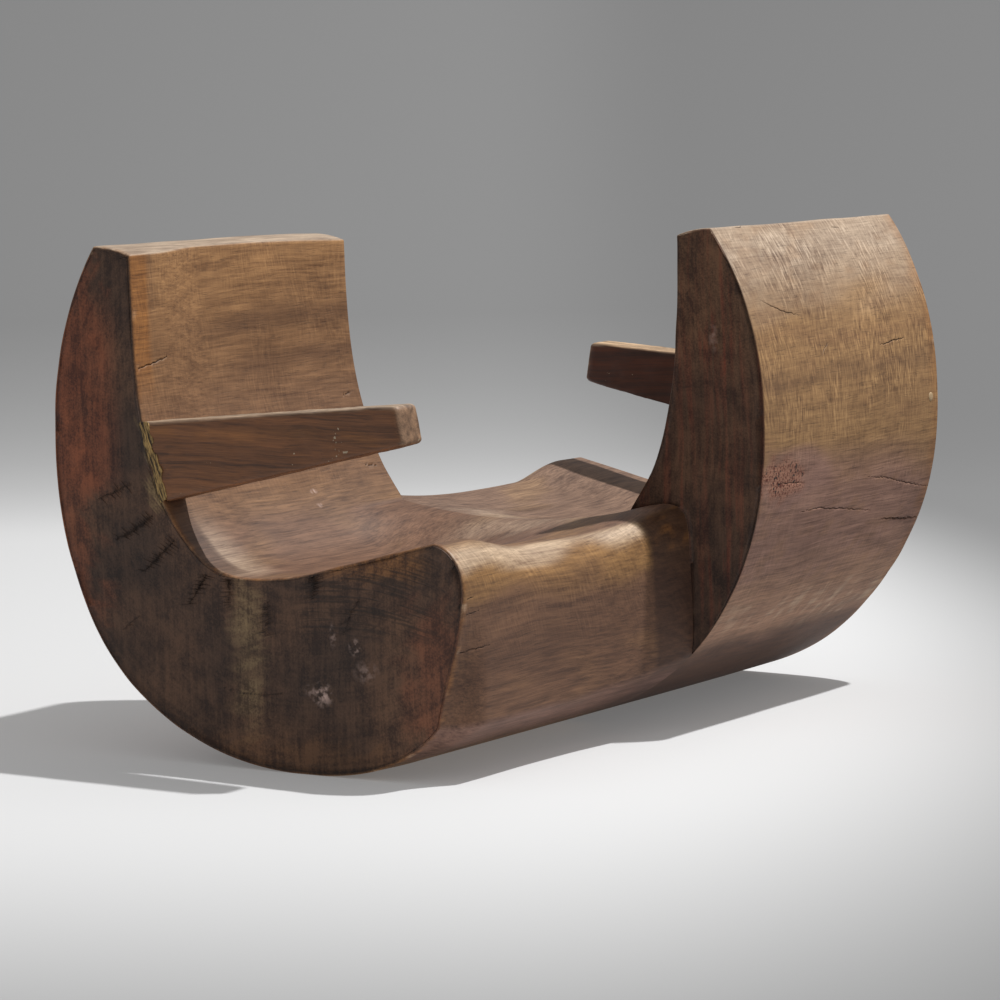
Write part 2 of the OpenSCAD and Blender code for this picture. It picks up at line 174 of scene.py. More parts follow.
# Cracks of the log: points on it in millimetres, the width and the depth
CRACKS = (
    (((-383, -648, 372), (-343, -648, 390), (-304, -648, 416)), 2.6, 6),
    (((-325, -648, 322), (-290, -648, 349), (-257, -648, 377)), 2.2, 5),
    (((-232, -648, 268), (-212, -648, 296), (-194, -648, 322)), 2.0, 5),
    (((-172, -648, 136), (-130, -648, 128), (-84, -648, 127), (-41, -648, 133)), 2.6, 6),
    (((26, -648, 336), (27, -648, 316), (23, -648, 292)), 3.0, 6),
    (((-380, -648, 215), (-357, -648, 232), (-336, -648, 247)), 2.0, 4),
    (((-421, -648, 438), (-384, -648, 452), (-349, -648, 468)), 1.8, 4),
    (((-68, -648, 287), (-71, -648, 254), (-76, -648, 220)), 2.0, 5),
    (((-150, -648, 330), (-146, -648, 296), (-151, -648, 262)), 1.8, 4),
    (((116, -648, 300), (96, -648, 268), (82, -648, 232)), 1.6, 4),
    (((-331, -645, 662), (-329, -603, 667), (-332, -552, 677)), 3.0, 6),
    (((-327, -17, 573), (-326, -52, 571)), 2.2, 4),
    (((-278, -21, 443), (-282, -60, 446)), 2.0, 4),
    (((186, 164, 356), (193, 248, 355), (207, 363, 358)), 3.4, 7),
    (((141, 480, 352), (144, 556, 363)), 2.6, 5),
    (((114, 331, 340), (152, 376, 347)), 2.0, 4),
    (((304, -637, 220), (312, -604, 223), (318, -572, 225)), 2.4, 4),
    (((316, -645, 307), (320, -618, 309)), 2.0, 3),
    (((322, -640, 281), (324, -606, 284)), 1.8, 3),
    (((490, 153, 371), (490, 218, 372), (488, 295, 363), (481, 428, 346)), 2.6, 6),
    (((470, 480, 327), (470, 520, 323), (468, 568, 316), (467, 648, 309)), 4.6, 10),
    (((498, 390, 409), (496, 459, 403), (491, 545, 385), (487, 648, 366)), 2.6, 6),
    (((499, 437, 642), (500, 486, 646), (499, 536, 649)), 2.6, 5),
    (((501, 221, 640), (498, 248, 659)), 2.2, 4),
    (((474, 52, 745), (482, 108, 725), (485, 171, 711)), 2.2, 4),
    (((411, 80, 867), (409, 112, 867)), 2.0, 3),
    (((420, 405, 853), (422, 436, 851)), 2.0, 3),
    (((507, 140, 424), (508, 92, 428), (506, 52, 430)), 2.2, 4),
    (((-493, -470, 430), (-494, -360, 424), (-492, -250, 428)), 2.6, 6),
    (((-470, -648, 320), (-468, -560, 326), (-466, -470, 331)), 3.0, 6),
    (((-502, -40, 600), (-503, -150, 606), (-502, -230, 604)), 2.4, 5),
    (((383, 648, 372), (343, 648, 392), (300, 648, 414)), 2.6, 6),
    (((190, 648, 150), (120, 648, 134), (46, 648, 138)), 2.6, 6),
    (((240, 648, 280), (205, 648, 318), (172, 648, 338)), 2.0, 5),
    (((-60, 648, 300), (-52, 648, 250), (-66, 648, 206)), 2.2, 5),
    (((420, 648, 560), (386, 648, 566), (352, 648, 580)), 2.0, 5),
)

# The grid gets finer near a crack in passes: the reach from its line and the shortest edge that is
# halved, in millimetres. Below them are the reach in which a crack is cut, the step between the points
# of its line, how far each of those is pushed to and fro, and the share of its depth that is cut
CRACK_PASSES = ((8, 5), (4, 2.4), (2.2, 1.4))
CRACK_REACH = 12
CRACK_STEP = 6
CRACK_PUSH = 1.3
CRACK_CUT = 0.6

# Pale rubs and marks: the middle and the half size of each in millimetres, and its strength. Five are
# on the near end, two on the near back and one on the far back's flat at the middle
RUBS = (
    ((38, -648, 136), (24, 40, 24), 0.9),
    ((20, -648, 140), (26, 40, 14), 0.35),
    ((106, -648, 218), (15, 40, 17), 0.75),
    ((62, -648, 236), (8, 40, 26), 0.5),
    ((126, -648, 178), (30, 40, 22), 0.28),
    ((-273, -227, 416), (5, 12, 7), 0.8),
    ((-255, -231, 393), (9, 14, 6), 0.5),
    ((411, -2, 684), (11, 12, 30), 0.32),
)

# The camera as solved from the photograph: turn, height and roll in radians, its target and distance
# in units of CAMERA_UNIT metres, its lens and sensor in millimetres, and how many metres it sees
CAMERA_AZIMUTH = math.radians(33.187)
CAMERA_ELEVATION = math.radians(6.19)
CAMERA_ROLL = -0.0223
CAMERA_TARGET = (-0.03575, 0, 0.45004)
CAMERA_DISTANCE = 8.3928
CAMERA_UNIT = 0.86
CAMERA_LENS = 146.63
SENSOR_W = 36
CAMERA_SEES_TO = 200

# The lamp and the sheet of the stage in metres: the floor starts in front of the camera and bends up
# into the wall, whose white fades over WALL_FADE
LAMP_PLACE = (3.4, 2.25, 8.4)
SHEET_FRONT = -12.0
SHEET_BEND = 3.4
SHEET_TOP = 7.0
SHEET_HALF_W = 14.0
BEND_R = 2.2
BEND_STEP = 0.2
WALL_FADE = 0.073
FLOOR_N = 24
BEND_N = 16
WALL_N = 8
SHEET_N = 15


def linear(hex_colour):
    """A linear colour from sRGB hex: c / 12.92 where c is small, else ((c + 0.055) / 1.055) to the 2.4."""
    parts = [int(hex_colour[i:i + 2], 16) / 255 for i in (1, 3, 5)]
    return tuple(c / 12.92 if c <= 0.04045 else ((c + 0.055) / 1.055) ** 2.4 for c in parts) + (1.0,)


def mix(a, b, t):
    """The value t of the way from a to b."""
    return a + (b - a) * t


def ease(t):
    """Zero to one with level ends: 3 t squared minus 2 t cubed, t held between 0 and 1."""
    held = np.clip(t, 0, 1)
    return held * held * (3 - 2 * held)


def placed(*values):
    """Points from their x, y and z, or from the x and z of a cross-section, made equally many."""
    return np.stack(np.broadcast_arrays(*(np.asarray(value, float) for value in values)), axis=-1)


def unit(v):
    """Vectors made one long."""
    return v / np.maximum(np.linalg.norm(v, axis=-1, keepdims=True), 1e-9)


def waves(points, length, count, seed):
    """Smooth noise, mostly between -1 and 1: a sum of sines of random direction, of about that length."""
    rng = np.random.default_rng(seed)
    ways = unit(rng.normal(size=(count, 3))) * 2 * math.pi / length * rng.uniform(0.6, 1.5, (count, 1))
    return np.sin(points @ ways.T + rng.uniform(0, 2 * math.pi, count)).sum(axis=1) * math.sqrt(1 / count)


def bezier(a, b, c, d, t):
    """The cubic curve on four points, at t."""
    return a * (1 - t) ** 3 + b * 3 * t * (1 - t) ** 2 + c * 3 * t * t * (1 - t) + d * t ** 3


def cubic(a, b, c, d, t):
    """The cubic curve on each four points, at every t."""
    return bezier(*(np.asarray(point)[..., None, :] for point in (a, b, c, d)), t[:, None])


def line_at(points, places):
    """A smooth line through points, at places counted in points: a cubic between each two, whose slope
    at a point is half the way between its two neighbours."""
    first = np.minimum(places.astype(int), points.shape[-2] - 2)
    t = (places - first)[:, None]
    ends = np.concatenate([points[..., :1, :], points, points[..., -1:, :]], axis=-2)
    slope = (ends[..., 2:, :] - ends[..., :-2, :]) / 2
    a, d = points[..., first, :], points[..., first + 1, :]
    return bezier(a, a + slope[..., first, :] / 3, d - slope[..., first + 1, :] / 3, d, t)


def round_power(v):
    """A cosine or sine raised to 2 / squareness, with its sign kept."""
    return np.sign(v) * np.abs(v) ** (2 / SQUARENESS)


def round_point(angle):
    """A point on the round of the log: a squarish ellipse about the pith."""
    return placed(SEMI_X * round_power(np.cos(angle)), PITH_H + SEMI_Z * round_power(np.sin(angle)))


def angle_at_x(x):
    """The angle at which the round is x from the middle."""
    return np.arccos((np.abs(x) / SEMI_X) ** (SQUARENESS / 2))


def angle_at_h(z):
    """The angle at which the upper round is z above the floor."""
    return np.arcsin((np.abs(z - PITH_H) / SEMI_Z) ** (SQUARENESS / 2))


def round_x(z):
    """How far the round is from the middle at height z."""
    return round_point(angle_at_h(z))[..., 0]


def seat_line(low_h, edge_h, arm_x, top_x, top_h):
    """Nine points from the front edge over the seat and up the back."""
    xs = (FRONT_EDGE_X, mix(-SEAT_LOW_X, FRONT_EDGE_X, 0.6), mix(-SEAT_LOW_X, FRONT_EDGE_X, 0.18),
          -mix(SEAT_LOW_X, arm_x, 0.28), -mix(SEAT_LOW_X, arm_x, 0.66), -mix(SEAT_LOW_X, arm_x, 0.93),
          -mix(arm_x, top_x, 0.54), -mix(arm_x, top_x, 0.88), -top_x)
    zs = (edge_h, mix(low_h, edge_h, 0.52), mix(low_h, edge_h, 0.07), mix(low_h, ARM_H, 0.05),
          mix(low_h, ARM_H, 0.34), mix(low_h, ARM_H, 0.8), mix(ARM_H, top_h, 0.25),
          mix(ARM_H, top_h, 0.6), top_h)
    return np.stack([placed(x + 0 * top_h, z + 0 * top_h) for x, z in zip(xs, zs)], axis=-2)


def eased_in(points, depth):
    """Points moved towards the pith by a depth."""
    return points - unit(points - np.array([0, PITH_H])) * depth[..., None]


def corner_share(y):
    """How far the front has turned from its worn corner."""
    return ease((y + HALF_W) / CORNER_TURN)


def scoop_share(y):
    """How far the seat and back have gone from the flat margin into the scoop."""
    return ease((y + HALF_W - MARGIN_W) / SCOOP_RUN)


def meet_share(y):
    """How far the seat has risen to the ridge."""
    return ease((y + BLEND_RUN) / BLEND_RUN) ** 1.5


def flare_share(y):
    """How far the front has flared out to meet the other backrest."""
    return np.clip((y + FLARE_RUN) / FLARE_RUN, 0, 1) ** 2.2


def top_heights(y, half):
    """Heights of the back's outer and inner top edge, and the inner edge's distance from the middle."""
    lift, _, _, scoop_left = half
    slope = BACK_TOP_FALL / (round_x(np.array(BACK_H)) - BACK_TOP_X)
    outer = BACK_H - (BACK_TOP_DIP - lift) * (1 + y / HALF_W) ** 2
    inner_x = BACK_TOP_X + BACK_SCOOP * mix(scoop_share(y), scoop_left, meet_share(y))
    return outer, outer - slope * (round_x(outer) - inner_x), inner_x


def cross_sections(y, half):
    """The rings of a half at each y: down the round, under it to the front's foot, up the front, over
    the seat, up the back and over the top. The same curves as in the part's source, on more points."""
    _, swell, crest, _ = half
    outer_h, top_h, inner_x = top_heights(y, half)
    scoop, meet, flare = scoop_share(y), meet_share(y), flare_share(y)
    bare = 1 - corner_share(y)

    flat = seat_line(SEAT_LOW_H, FRONT_EDGE_H, BACK_ARM_X, BACK_TOP_X, top_h)
    scooped = seat_line(SEAT_LOW_H - SEAT_SCOOP, FRONT_EDGE_H - FRONT_DIP,
                        BACK_ARM_X + 0.3 * BACK_SCOOP, BACK_TOP_X + BACK_SCOOP, top_h)
    own = mix(flat, scooped, scoop[:, None, None])
    across = np.linspace(1, -1, SEAT_N + 1)
    ridge = placed(RIDGE_REACH * across, RIDGE_H + RIDGE_RISE * across ** 2)
    seat = mix(line_at(own, np.linspace(0, 4, SEAT_N + 1)), ridge, meet[:, None, None])
    rise = 1 - (1 - np.linspace(0, 1, BACK_N + 1)) ** 1.3
    middle = seat_line(SEAT_LOW_H, FRONT_EDGE_H, BACK_ARM_X, inner_x, top_h)[:, 4:].copy()
    middle[:, 0] = ridge[-1]
    back = mix(line_at(own, 4 + 4 * rise), line_at(middle, 4 * rise), meet[:, None, None])

    fall = np.linspace(0, 1, SIDE_N, endpoint=False) ** 1.3
    middle_foot_x = FRONT_FOOT_X + FOOT_FLARE
    start, foot = angle_at_h(outer_h)[:, None], -angle_at_x(middle_foot_x)
    side = round_point(mix(start, foot, fall)) * [-1, 1]
    keel = np.linspace(0, 1, KEEL_N + 1)
    rest = -angle_at_x(REST_FLAT_W / 2)
    far_keel = (round_point(mix(rest, foot, keel)) * [-1, 1])[::-1]
    round_part = np.concatenate([side, np.broadcast_to(far_keel, (len(y),) + far_keel.shape)], axis=1)
    low = np.clip((PITH_H - round_part[..., 1]) / SEMI_Z * 1.6, 0, 1) ** 2
    behind = np.clip(-round_part[..., 0] / SEMI_X * 1.4, 0, 1) ** 2
    round_part = eased_in(round_part, -swell * low * behind * (-y[:, None] / HALF_W) ** 3)

    foot_x = FRONT_FOOT_X - WORN_CORNER * bare + FOOT_FLARE * flare
    own_keel = round_point(mix(rest, -angle_at_x(foot_x)[:, None], keel[:-1]))
    own_keel = eased_in(own_keel, WORN_ROUND * bare[:, None] * keel[:-1] ** 3)

    face_x = FRONT_X + FRONT_FLARE * flare
    knee = mix(np.array(WORN_KNEE), np.array(STRAIGHT_KNEE), corner_share(y)[:, None])
    knee = mix(knee, np.array(MIDDLE_KNEE), flare[:, None])
    foot_at = eased_in(round_point(-angle_at_x(foot_x)), WORN_ROUND * bare)
    edge = seat[:, 0]
    brow_h = edge[:, 1] - EDGE_ROUND
    brow = placed(face_x, brow_h)
    face = cubic(foot_at, foot_at + knee, placed(face_x, mix(foot_at[:, 1], brow_h, 0.7)), brow,
                 np.linspace(0, 1, FACE_N, endpoint=False))
    over = cubic(brow, placed(face_x, mix(brow_h, edge[:, 1], mix(0.55, 1.26, flare))),
                 placed(mix(edge[:, 0], face_x, mix(0.52, 0.9, flare)), edge[:, 1] + crest * flare), edge,
                 np.linspace(0, 1, EDGE_N, endpoint=False))
    t = ((1 - np.cos(np.linspace(0, math.pi, TOP_N + 1))) / 2)[1:-1, None]
    top = mix(back[:, -1:], side[:, :1], t) + np.array([0, BACK_TOP_CROWN]) * 4 * t * (1 - t)
    return np.concatenate([round_part, own_keel, face, over, seat, back[:, 1:], top], axis=1)


def inward(rings):
    """Unit vectors into the wood at each point: a quarter turn from the way along the ring."""
    along = unit(np.roll(rings, -1, axis=1) - np.roll(rings, 1, axis=1))
    return np.stack([-along[..., 1], along[..., 0]], axis=-1)


def half_rings(half, end_wear, middle_wear):
    """All rings of a half as points in millimetres, from its worn sawn end to the middle. Towards the
    end the rings are drawn in by wear times 1 - sin(a), and so is the free part of those at the middle."""
    a = np.linspace(0, math.pi / 2, END_ROUND_N)
    b = np.linspace(math.pi / 2, 0, MIDDLE_ROUND_N)
    first, last = end_wear * (1 - np.cos(a)) - HALF_W, -middle_wear * (1 - np.cos(b))
    between = np.linspace(first[-1], last[0], RING_COUNT)[1:-1]
    y = np.concatenate([first, between, last])
    rings = cross_sections(y, half)
    corners = np.array([0, TOP_I])
    rings[:, corners] = (rings[:, corners] * 2 + rings[:, corners - 1] + rings[:, corners + 1]) / 4
    index = np.arange(RING_N)
    free = ease((FAR_FOOT_I - index) / 12) + ease((index - BACK_I) / 8)
    draw = np.zeros((len(y), RING_N))
    draw[:len(a)] = (end_wear * (1 - np.sin(a)))[:, None]
    draw[-len(b):] = (middle_wear * (1 - np.sin(b)))[:, None] * free
    rings = rings + inward(rings) * draw[..., None]
    return placed(rings[..., 0], y[:, None], rings[..., 1])


def grid_triangles(rows, columns, closed=False):
    """Triangles of a grid of points, numbered row by row, and joined round if closed."""
    r, c = np.meshgrid(np.arange(rows - 1), np.arange(columns if closed else columns - 1), indexing="ij")
    n = (c + 1) % columns
    p, q, s, t = r * columns + c, r * columns + n, (r + 1) * columns + n, (r + 1) * columns + c
    return np.concatenate([np.stack([p, q, s], -1).reshape(-1, 3), np.stack([p, s, t], -1).reshape(-1, 3)])


def spanned(one, other, steps):
    """A grid of points from one chain to the other, with steps between them."""
    return mix(one[:, None], other[:, None], np.linspace(0, 1, steps + 1)[:, None])


def welded(patches, gap=0.004):
    """Patches of points and triangles as one mesh, with points nearer than the gap made one."""
    offsets = np.cumsum([0] + [len(p) for p, _ in patches])
    points = np.concatenate([p for p, _ in patches])
    triangles = np.concatenate([t + o for (_, t), o in zip(patches, offsets)])
    _, first, number = np.unique(np.round(points / gap).astype(np.int64), axis=0,
                                 return_index=True, return_inverse=True)
    triangles = number.reshape(-1)[triangles]
    whole = (triangles != np.roll(triangles, 1, axis=1)).all(axis=1)
    return points[first], triangles[whole]


def vertex_normals(points, triangles):
    """Unit normals: the sum of the areas of the triangles round each point."""
    a, b, c = (points[triangles[:, i]] for i in range(3))
    area = np.cross(b - a, c - a)
    normals = np.zeros_like(points)
    for i in range(3):
        np.add.at(normals, triangles[:, i], area)
    return unit(normals)


def log_surface(end_wear):
    """The closed surface of the log in millimetres: the sides of both halves, the two sawn ends, and the
    flats at the middle where each back stands past the other's front."""
    near = half_rings(NEAR_HALF, end_wear, MIDDLE_WEAR)
    far = half_rings(FAR_HALF, end_wear, MIDDLE_WEAR)
    patches = []
    for rings, other in ((near, far), (far, near)):
        sides = grid_triangles(len(rings), RING_N, closed=True)
        ring = rings[0]
        end = spanned(ring[:FOOT_I + 1], np.concatenate([ring[:1], ring[:FOOT_I - 1:-1]]), END_ACROSS)
        ring, across = rings[-1], other[-1] * [-1, -1, 1]
        inner = np.concatenate([ring[:1], ring[:BACK_I - 1:-1], across[SEAT_I - 1:FOOT_I - 1:-1]])
        flat = spanned(ring[:FAR_FOOT_I + 1], inner, MIDDLE_ACROSS)
        turn = [1, 1, 1] if rings is near else [-1, -1, 1]
        patches.append((rings.reshape(-1, 3) * turn, sides[:, ::-1]))
        patches.append((end.reshape(-1, 3) * turn, grid_triangles(FOOT_I + 1, END_ACROSS + 1)))
        patches.append((flat.reshape(-1, 3) * turn,
                        grid_triangles(FAR_FOOT_I + 1, MIDDLE_ACROSS + 1)[:, ::-1]))
    return welded(patches)


def crack_path(corners, seed):
    """A crack's line through its corners, a point every step, each pushed a little to and fro."""
    corners = np.array(corners, float)
    lengths = np.linalg.norm(np.diff(corners, axis=0), axis=1)
    run = np.concatenate([[0], np.cumsum(lengths)])
    at = np.linspace(0, run[-1], max(3, int(run[-1] / CRACK_STEP)))
    path = np.stack([np.interp(at, run, corners[:, i]) for i in range(3)], axis=-1)
    return path + np.random.default_rng(seed).uniform(-CRACK_PUSH, CRACK_PUSH, path.shape)


def near_line(points, path, reach):
    """Distance of each point from a path, or infinity beyond the reach, and how far along it is."""
    far = np.full(len(points), np.inf)
    along = np.zeros(len(points))
    inside = ((points > path.min(0) - reach) & (points < path.max(0) + reach)).all(axis=1)
    if not inside.any():
        return far, along
    start, step = path[:-1], np.diff(path, axis=0)
    gap = points[inside][:, None] - start
    t = np.clip((gap * step).sum(-1) / (step * step).sum(-1), 0, 1)
    away = np.linalg.norm(gap - step * t[..., None], axis=-1)
    best = away.argmin(axis=1)
    rows = np.arange(len(best))
    far[inside] = away[rows, best]
    along[inside] = (best + t[rows, best]) / len(step)
    return far, along


def split_near(points, triangles, paths, reach, shortest):
    """Halves each edge that is longer than the shortest and whose middle is within reach of a path. A
    triangle with one, two or three halved edges becomes two, three or four triangles."""
    edges = np.sort(triangles[:, [[0, 1], [1, 2], [2, 0]]].reshape(-1, 2), axis=1)
    keys, number = np.unique(edges[:, 0] * len(points) + edges[:, 1], return_inverse=True)
    one, two = points[keys // len(points)], points[keys % len(points)]
    middle = (one + two) / 2
    near = np.zeros(len(keys), bool)
    for path in paths:
        near |= near_line(middle, path, reach)[0] < reach
    near &= np.linalg.norm(one - two, axis=1) > shortest
    new = np.full(len(keys), -1)
    new[near] = len(points) + np.arange(near.sum())
    points = np.concatenate([points, middle[near]])
    mid = new[number.reshape(-1)].reshape(-1, 3)
    count = (mid >= 0).sum(axis=1)
    made = [triangles[count == 0]]
    for i in range(3):
        turn = [i, (i + 1) % 3, (i + 2) % 3]
        rows = (count == 1) & (mid[:, i] >= 0)
        a, b, c = triangles[rows][:, turn].T
        m = mid[rows, i]
        made += [np.stack([a, m, c], -1), np.stack([m, b, c], -1)]
        rows = (count == 2) & (mid[:, i] < 0)
        a, b, c = triangles[rows][:, turn].T
        m, n = mid[rows, turn[1]], mid[rows, turn[2]]
        made += [np.stack([n, m, c], -1), np.stack([a, b, m], -1), np.stack([a, m, n], -1)]
    rows = count == 3
    (a, b, c), (m, n, o) = triangles[rows].T, mid[rows].T
    made += [np.stack(t, -1) for t in ((a, m, o), (m, b, n), (o, n, c), (m, n, o))]
    return points, np.concatenate(made)


def carved_log(end_wear, wave_depth, crack_scale):
    """The log's surface with waves, worn edges and cracks: each point moves along its normal by the waves,
    which fade out near the floor, and into the wood near a crack by CRACK_CUT of its depth, times
    1.25 - distance / half width held between 0 and 1. Gives the points, the triangles, each point's
    share of crack, and the normals from before the move."""
    points, triangles = log_surface(end_wear)
    tree = BVHTree.FromPolygons(points.tolist(), triangles.tolist())
    paths = []
    for i, (corners, _, _) in enumerate(CRACKS):
        path = crack_path(corners, i)
        paths.append(np.array([tree.find_nearest(p)[0] for p in path.tolist()]))
    for reach, shortest in CRACK_PASSES:
        points, triangles = split_near(points, triangles, paths, reach, shortest)
    normals = vertex_normals(points, triangles)
    off_floor = ease((points[:, 2] - 20) / 60)
    swell = waves(points, 260, 24, 1) + 0.5 * waves(points * [1, 0.6, 1], 90, 24, 2)
    move = wave_depth * 0.7 * np.tanh(swell) * off_floor
    crack = np.zeros(len(points))
    for path, (_, width, depth) in zip(paths, CRACKS):
        away, along = near_line(points, path, CRACK_REACH)
        half = width * crack_scale / 2 * np.sin(math.pi * np.clip(along, 0.04, 0.96)) ** 0.5
        groove = np.clip(1.25 - away / half, 0, 1)
        move -= groove * depth * CRACK_CUT
        crack = np.maximum(crack, groove)
    return points + normals * move[:, None], triangles, crack, normals


def log_colours(points, normals, look):
    """Each point's colour and its marks. The colours follow the place on the chair: the facing of the
    surface picks it out, and bands of height or distance, bent by waves, colour it."""
    x, y, z = points.T
    side = np.where(y < 0, 1.0, -1.0)
    own_x, own_nx = x * side, normals[:, 0] * side
    deep = np.abs(y)
    blotch = waves(points * [1, 0.5, 1], 190, 30, 5)
    small = waves(points * [1, 0.3, 1], 60, 40, 6)
    fine = waves(points * [1, 0.4, 1], 22, 40, 7)
    near = (y < 0).astype(float)
    far = 1 - near

    def facing(share, low, high):
        return ease((share - low) / (high - low))

    def band(value, low, high, soft):
        return ease((value - low) / soft + 0.5) * ease((high - value) / soft + 0.5)

    end = facing(np.abs(normals[:, 1]), 0.6, 0.9)
    outer = facing(-own_nx, 0.0, 0.3) * (own_x < 0)
    back = facing(own_nx, 0.3, 0.6) * (own_x < -150) * ease((z - 370) / 90)
    seat = facing(normals[:, 2], 0.4, 0.7) * (z < 500)
    front = facing(own_nx, 0.2, 0.5) * (own_x > 150)
    top = facing(normals[:, 2], 0.5, 0.8) * (z > 780)
    under = facing(-normals[:, 2], 0.2, 0.6)

    colour = np.tile(np.array(look.long_grain[:3]), (len(points), 1))

    def paint(share, shade, strength=1.0):
        colour[:] = mix(colour, np.array(shade[:3]), (np.clip(share, 0, 1) * strength)[:, None])

    # The outer round: bleached above, purple brown below, with dark bands along the grain
    paint(outer * band(z + 14 * small, 760, 900, 170), look.sun_bleached, 0.95)
    paint(outer * band(z + 22 * blotch, 40, 440, 110), look.purple_brown, 0.85)
    paint(outer * band(z + 20 * blotch, 0, 60, 60), look.dark_brown_and_shade, 0.6)
    paint(outer * band(z + 16 * small, 110, 260, 90) * far, look.long_grain, 0.35)
    paint(outer * ease(0.6 * small + 0.5 * fine), look.back_brown, 0.3)
    paint(outer * band(z + 12 * small, 594, 622, 20) * far, look.dark_brown_and_shade, 0.35)
    paint(outer * band(z + 10 * small, 664, 680, 16), look.back_brown, 0.35)
    paint(outer * band(z + 16 * blotch, 436, 470, 30), look.dark_brown_and_shade, 0.25)

    # The inner faces of the backs, with the rubbed margin at the outer end
    paint(back, look.back_brown)
    paint(back * ease((z - 670) / 170), look.back_gold, 0.62)
    paint(back * ease((700 - z) / 150), look.seat_pink, 0.38)
    paint(back * ease((470 - z) / 70), look.dark_brown_and_shade, 0.25)
    paint(back * band(z + 9 * blotch + deep * 0.03, 706, 738, 26) * ease((560 - deep) / 240),
          look.dark_brown_and_shade, 0.52)
    paint(back * band(z + 12 * blotch + deep * 0.04, 640, 668, 26) * ease((420 - deep) / 160),
          look.dark_brown_and_shade, 0.5)
    paint(back * ease(0.5 * fine + 0.4 * small), look.dark_brown_and_shade, 0.18)
    paint(back * band(deep + 1.5 * small, 602, 650, 10) * band(z, 640, 900, 110), look.orange, 0.82)
    paint(back * band(deep, 590, 604, 14) * band(z, 600, 900, 110), look.back_brown, 0.7)

    # The seats and the fronts
    paint(seat, look.seat_pink)
    paint(seat * near * ease((150 - own_x) / 120), look.back_brown, 0.12)
    paint(seat * near * ease(0.5 * blotch + 0.5 * small), look.dark_brown_and_shade, 0.42)
    paint(seat * ease(0.8 * blotch + 0.3 * small - 0.1), look.long_grain, 0.45)
    paint(seat * ease(0.6 * fine - 0.2), look.dark_brown_and_shade, 0.2)
    # Two pale patches on the seats, partly rubbed wear and partly painted highlight
    paint(seat * ease(1.2 - np.hypot((own_x + 185) / 90, (deep - 600) / 90)), look.rubbed, 0.4)
    paint(seat * ease(1.1 - np.hypot((own_x - 40) / 160, (deep - 60) / 120) + 0.2 * small),
          look.rubbed, 0.25)
    paint(seat * far, look.rubbed, 0.09)
    paint(front, look.front_brown)
    paint(front * band(z + 14 * small, 300, 430, 70), look.golden, 0.95)
    paint(front * band(z + 14 * blotch, 120, 240, 80), look.dark_brown_and_shade, 0.4)
    paint(front * ease(0.5 * small + 0.4 * blotch - 0.1), look.back_brown, 0.35)
    # Painted highlight on the front's top edge, partly rubbed wear, in the rubbed colour
    paint(front * band(z + 9 * small, 345, 384, 24) * ease((deep - 70) / 60), look.rubbed, 0.42)
    paint(front * band(z + 4 * small, 352, 396, 16) * ease((deep - 70) / 60), look.rubbed, 0.25)
    # Painted shadow: the band that the other back casts on the front beside the middle, partly a dark
    # stain, with orange flecks on it
    corner = front * ease((108 - deep + 0.06 * (z - 300)) / 16)
    paint(corner, look.dark_brown_and_shade, 0.9)
    paint(corner, look.end_dark_and_shade, 0.3)
    paint(corner * band(z + 6 * fine, 330, 400, 30) * ease(0.7 * fine), look.orange, 0.5)
    # Painted shadow of the arm on the margin under it, over dark wood
    arm_shadow_band = ease((deep - 588) / 10) * band(z, 270, 446, 40) * ease((-own_x - 120) / 60)
    paint(np.maximum(back, seat) * arm_shadow_band, look.dark_brown_and_shade, 0.85)
    # Painted shade on the surfaces that face down
    paint(under * ease((-own_x - 50) / 60 + near) * ease((160 - z) / 80), look.dark_brown_and_shade, 0.5)
    paint(under * band(z + 8 * small, 50, 110, 40) * near, look.purple_brown, 0.6)
    # Painted shade on the far round's low part, which hangs over the floor
    paint(outer * far * ease((176 - z + 10 * small) / 60), look.dark_brown_and_shade, 0.95)
    paint(outer * far * ease((deep - HALF_W + 44 + 8 * small) / 36), look.orange, 0.3)
    paint(front * ease((130 - z + 14 * small) / 60), look.dark_brown_and_shade, 0.3)
    paint(top, look.sun_bleached, 0.95)

    # The sawn ends and the flats at the middle
    sawn = mix(np.array(look.end_grain[:3]), np.array(look.end_dark_and_shade[:3]),
               np.clip(0.45 + 0.4 * blotch, 0, 1)[:, None])
    colour[:] = mix(colour, sawn, end[:, None])
    paint(end * ease((-own_x - 405 + 26 * small + 14 * fine) / 50) * (deep > 30), look.end_red, 0.58)
    paint(end * band(z + 30 * blotch, 480, 760, 120) * ease((-own_x - 350) / 60) * near, look.end_red, 0.66)
    paint(end * band(own_x + 7 * small, -132, -86, 24) * band(z + 20 * small, 90, 330, 60) * near
          * ease(0.8 + 0.4 * small + 0.3 * fine), look.streak, 0.55)
    paint(end * ease((60 - z + 14 * small + 10 * fine) / 22) * near, look.orange, 0.1)
    paint(end * band(own_x + 22 * small, 215, 330, 60) * band(z + 16 * fine, 70, 290, 60),
          look.end_red, 0.4)
    paint(end * band(own_x + 10 * small, 20, 240, 60) * band(z + 6 * fine, 338, 400, 26) * near,
          look.orange, 0.42)
    middle = end * (deep < 30)
    paint(middle, look.end_grain, 0.5)
    paint(middle * ease((z - 560) / 160), look.back_brown, 0.14)
    paint(middle * ease((420 - z + 20 * small) / 120), look.end_dark_and_shade, 0.7)
    red = middle * (0.35 + 0.65 * band(-own_x + 8 * blotch, 375, 440, 40) * band(z, 280, 760, 120))

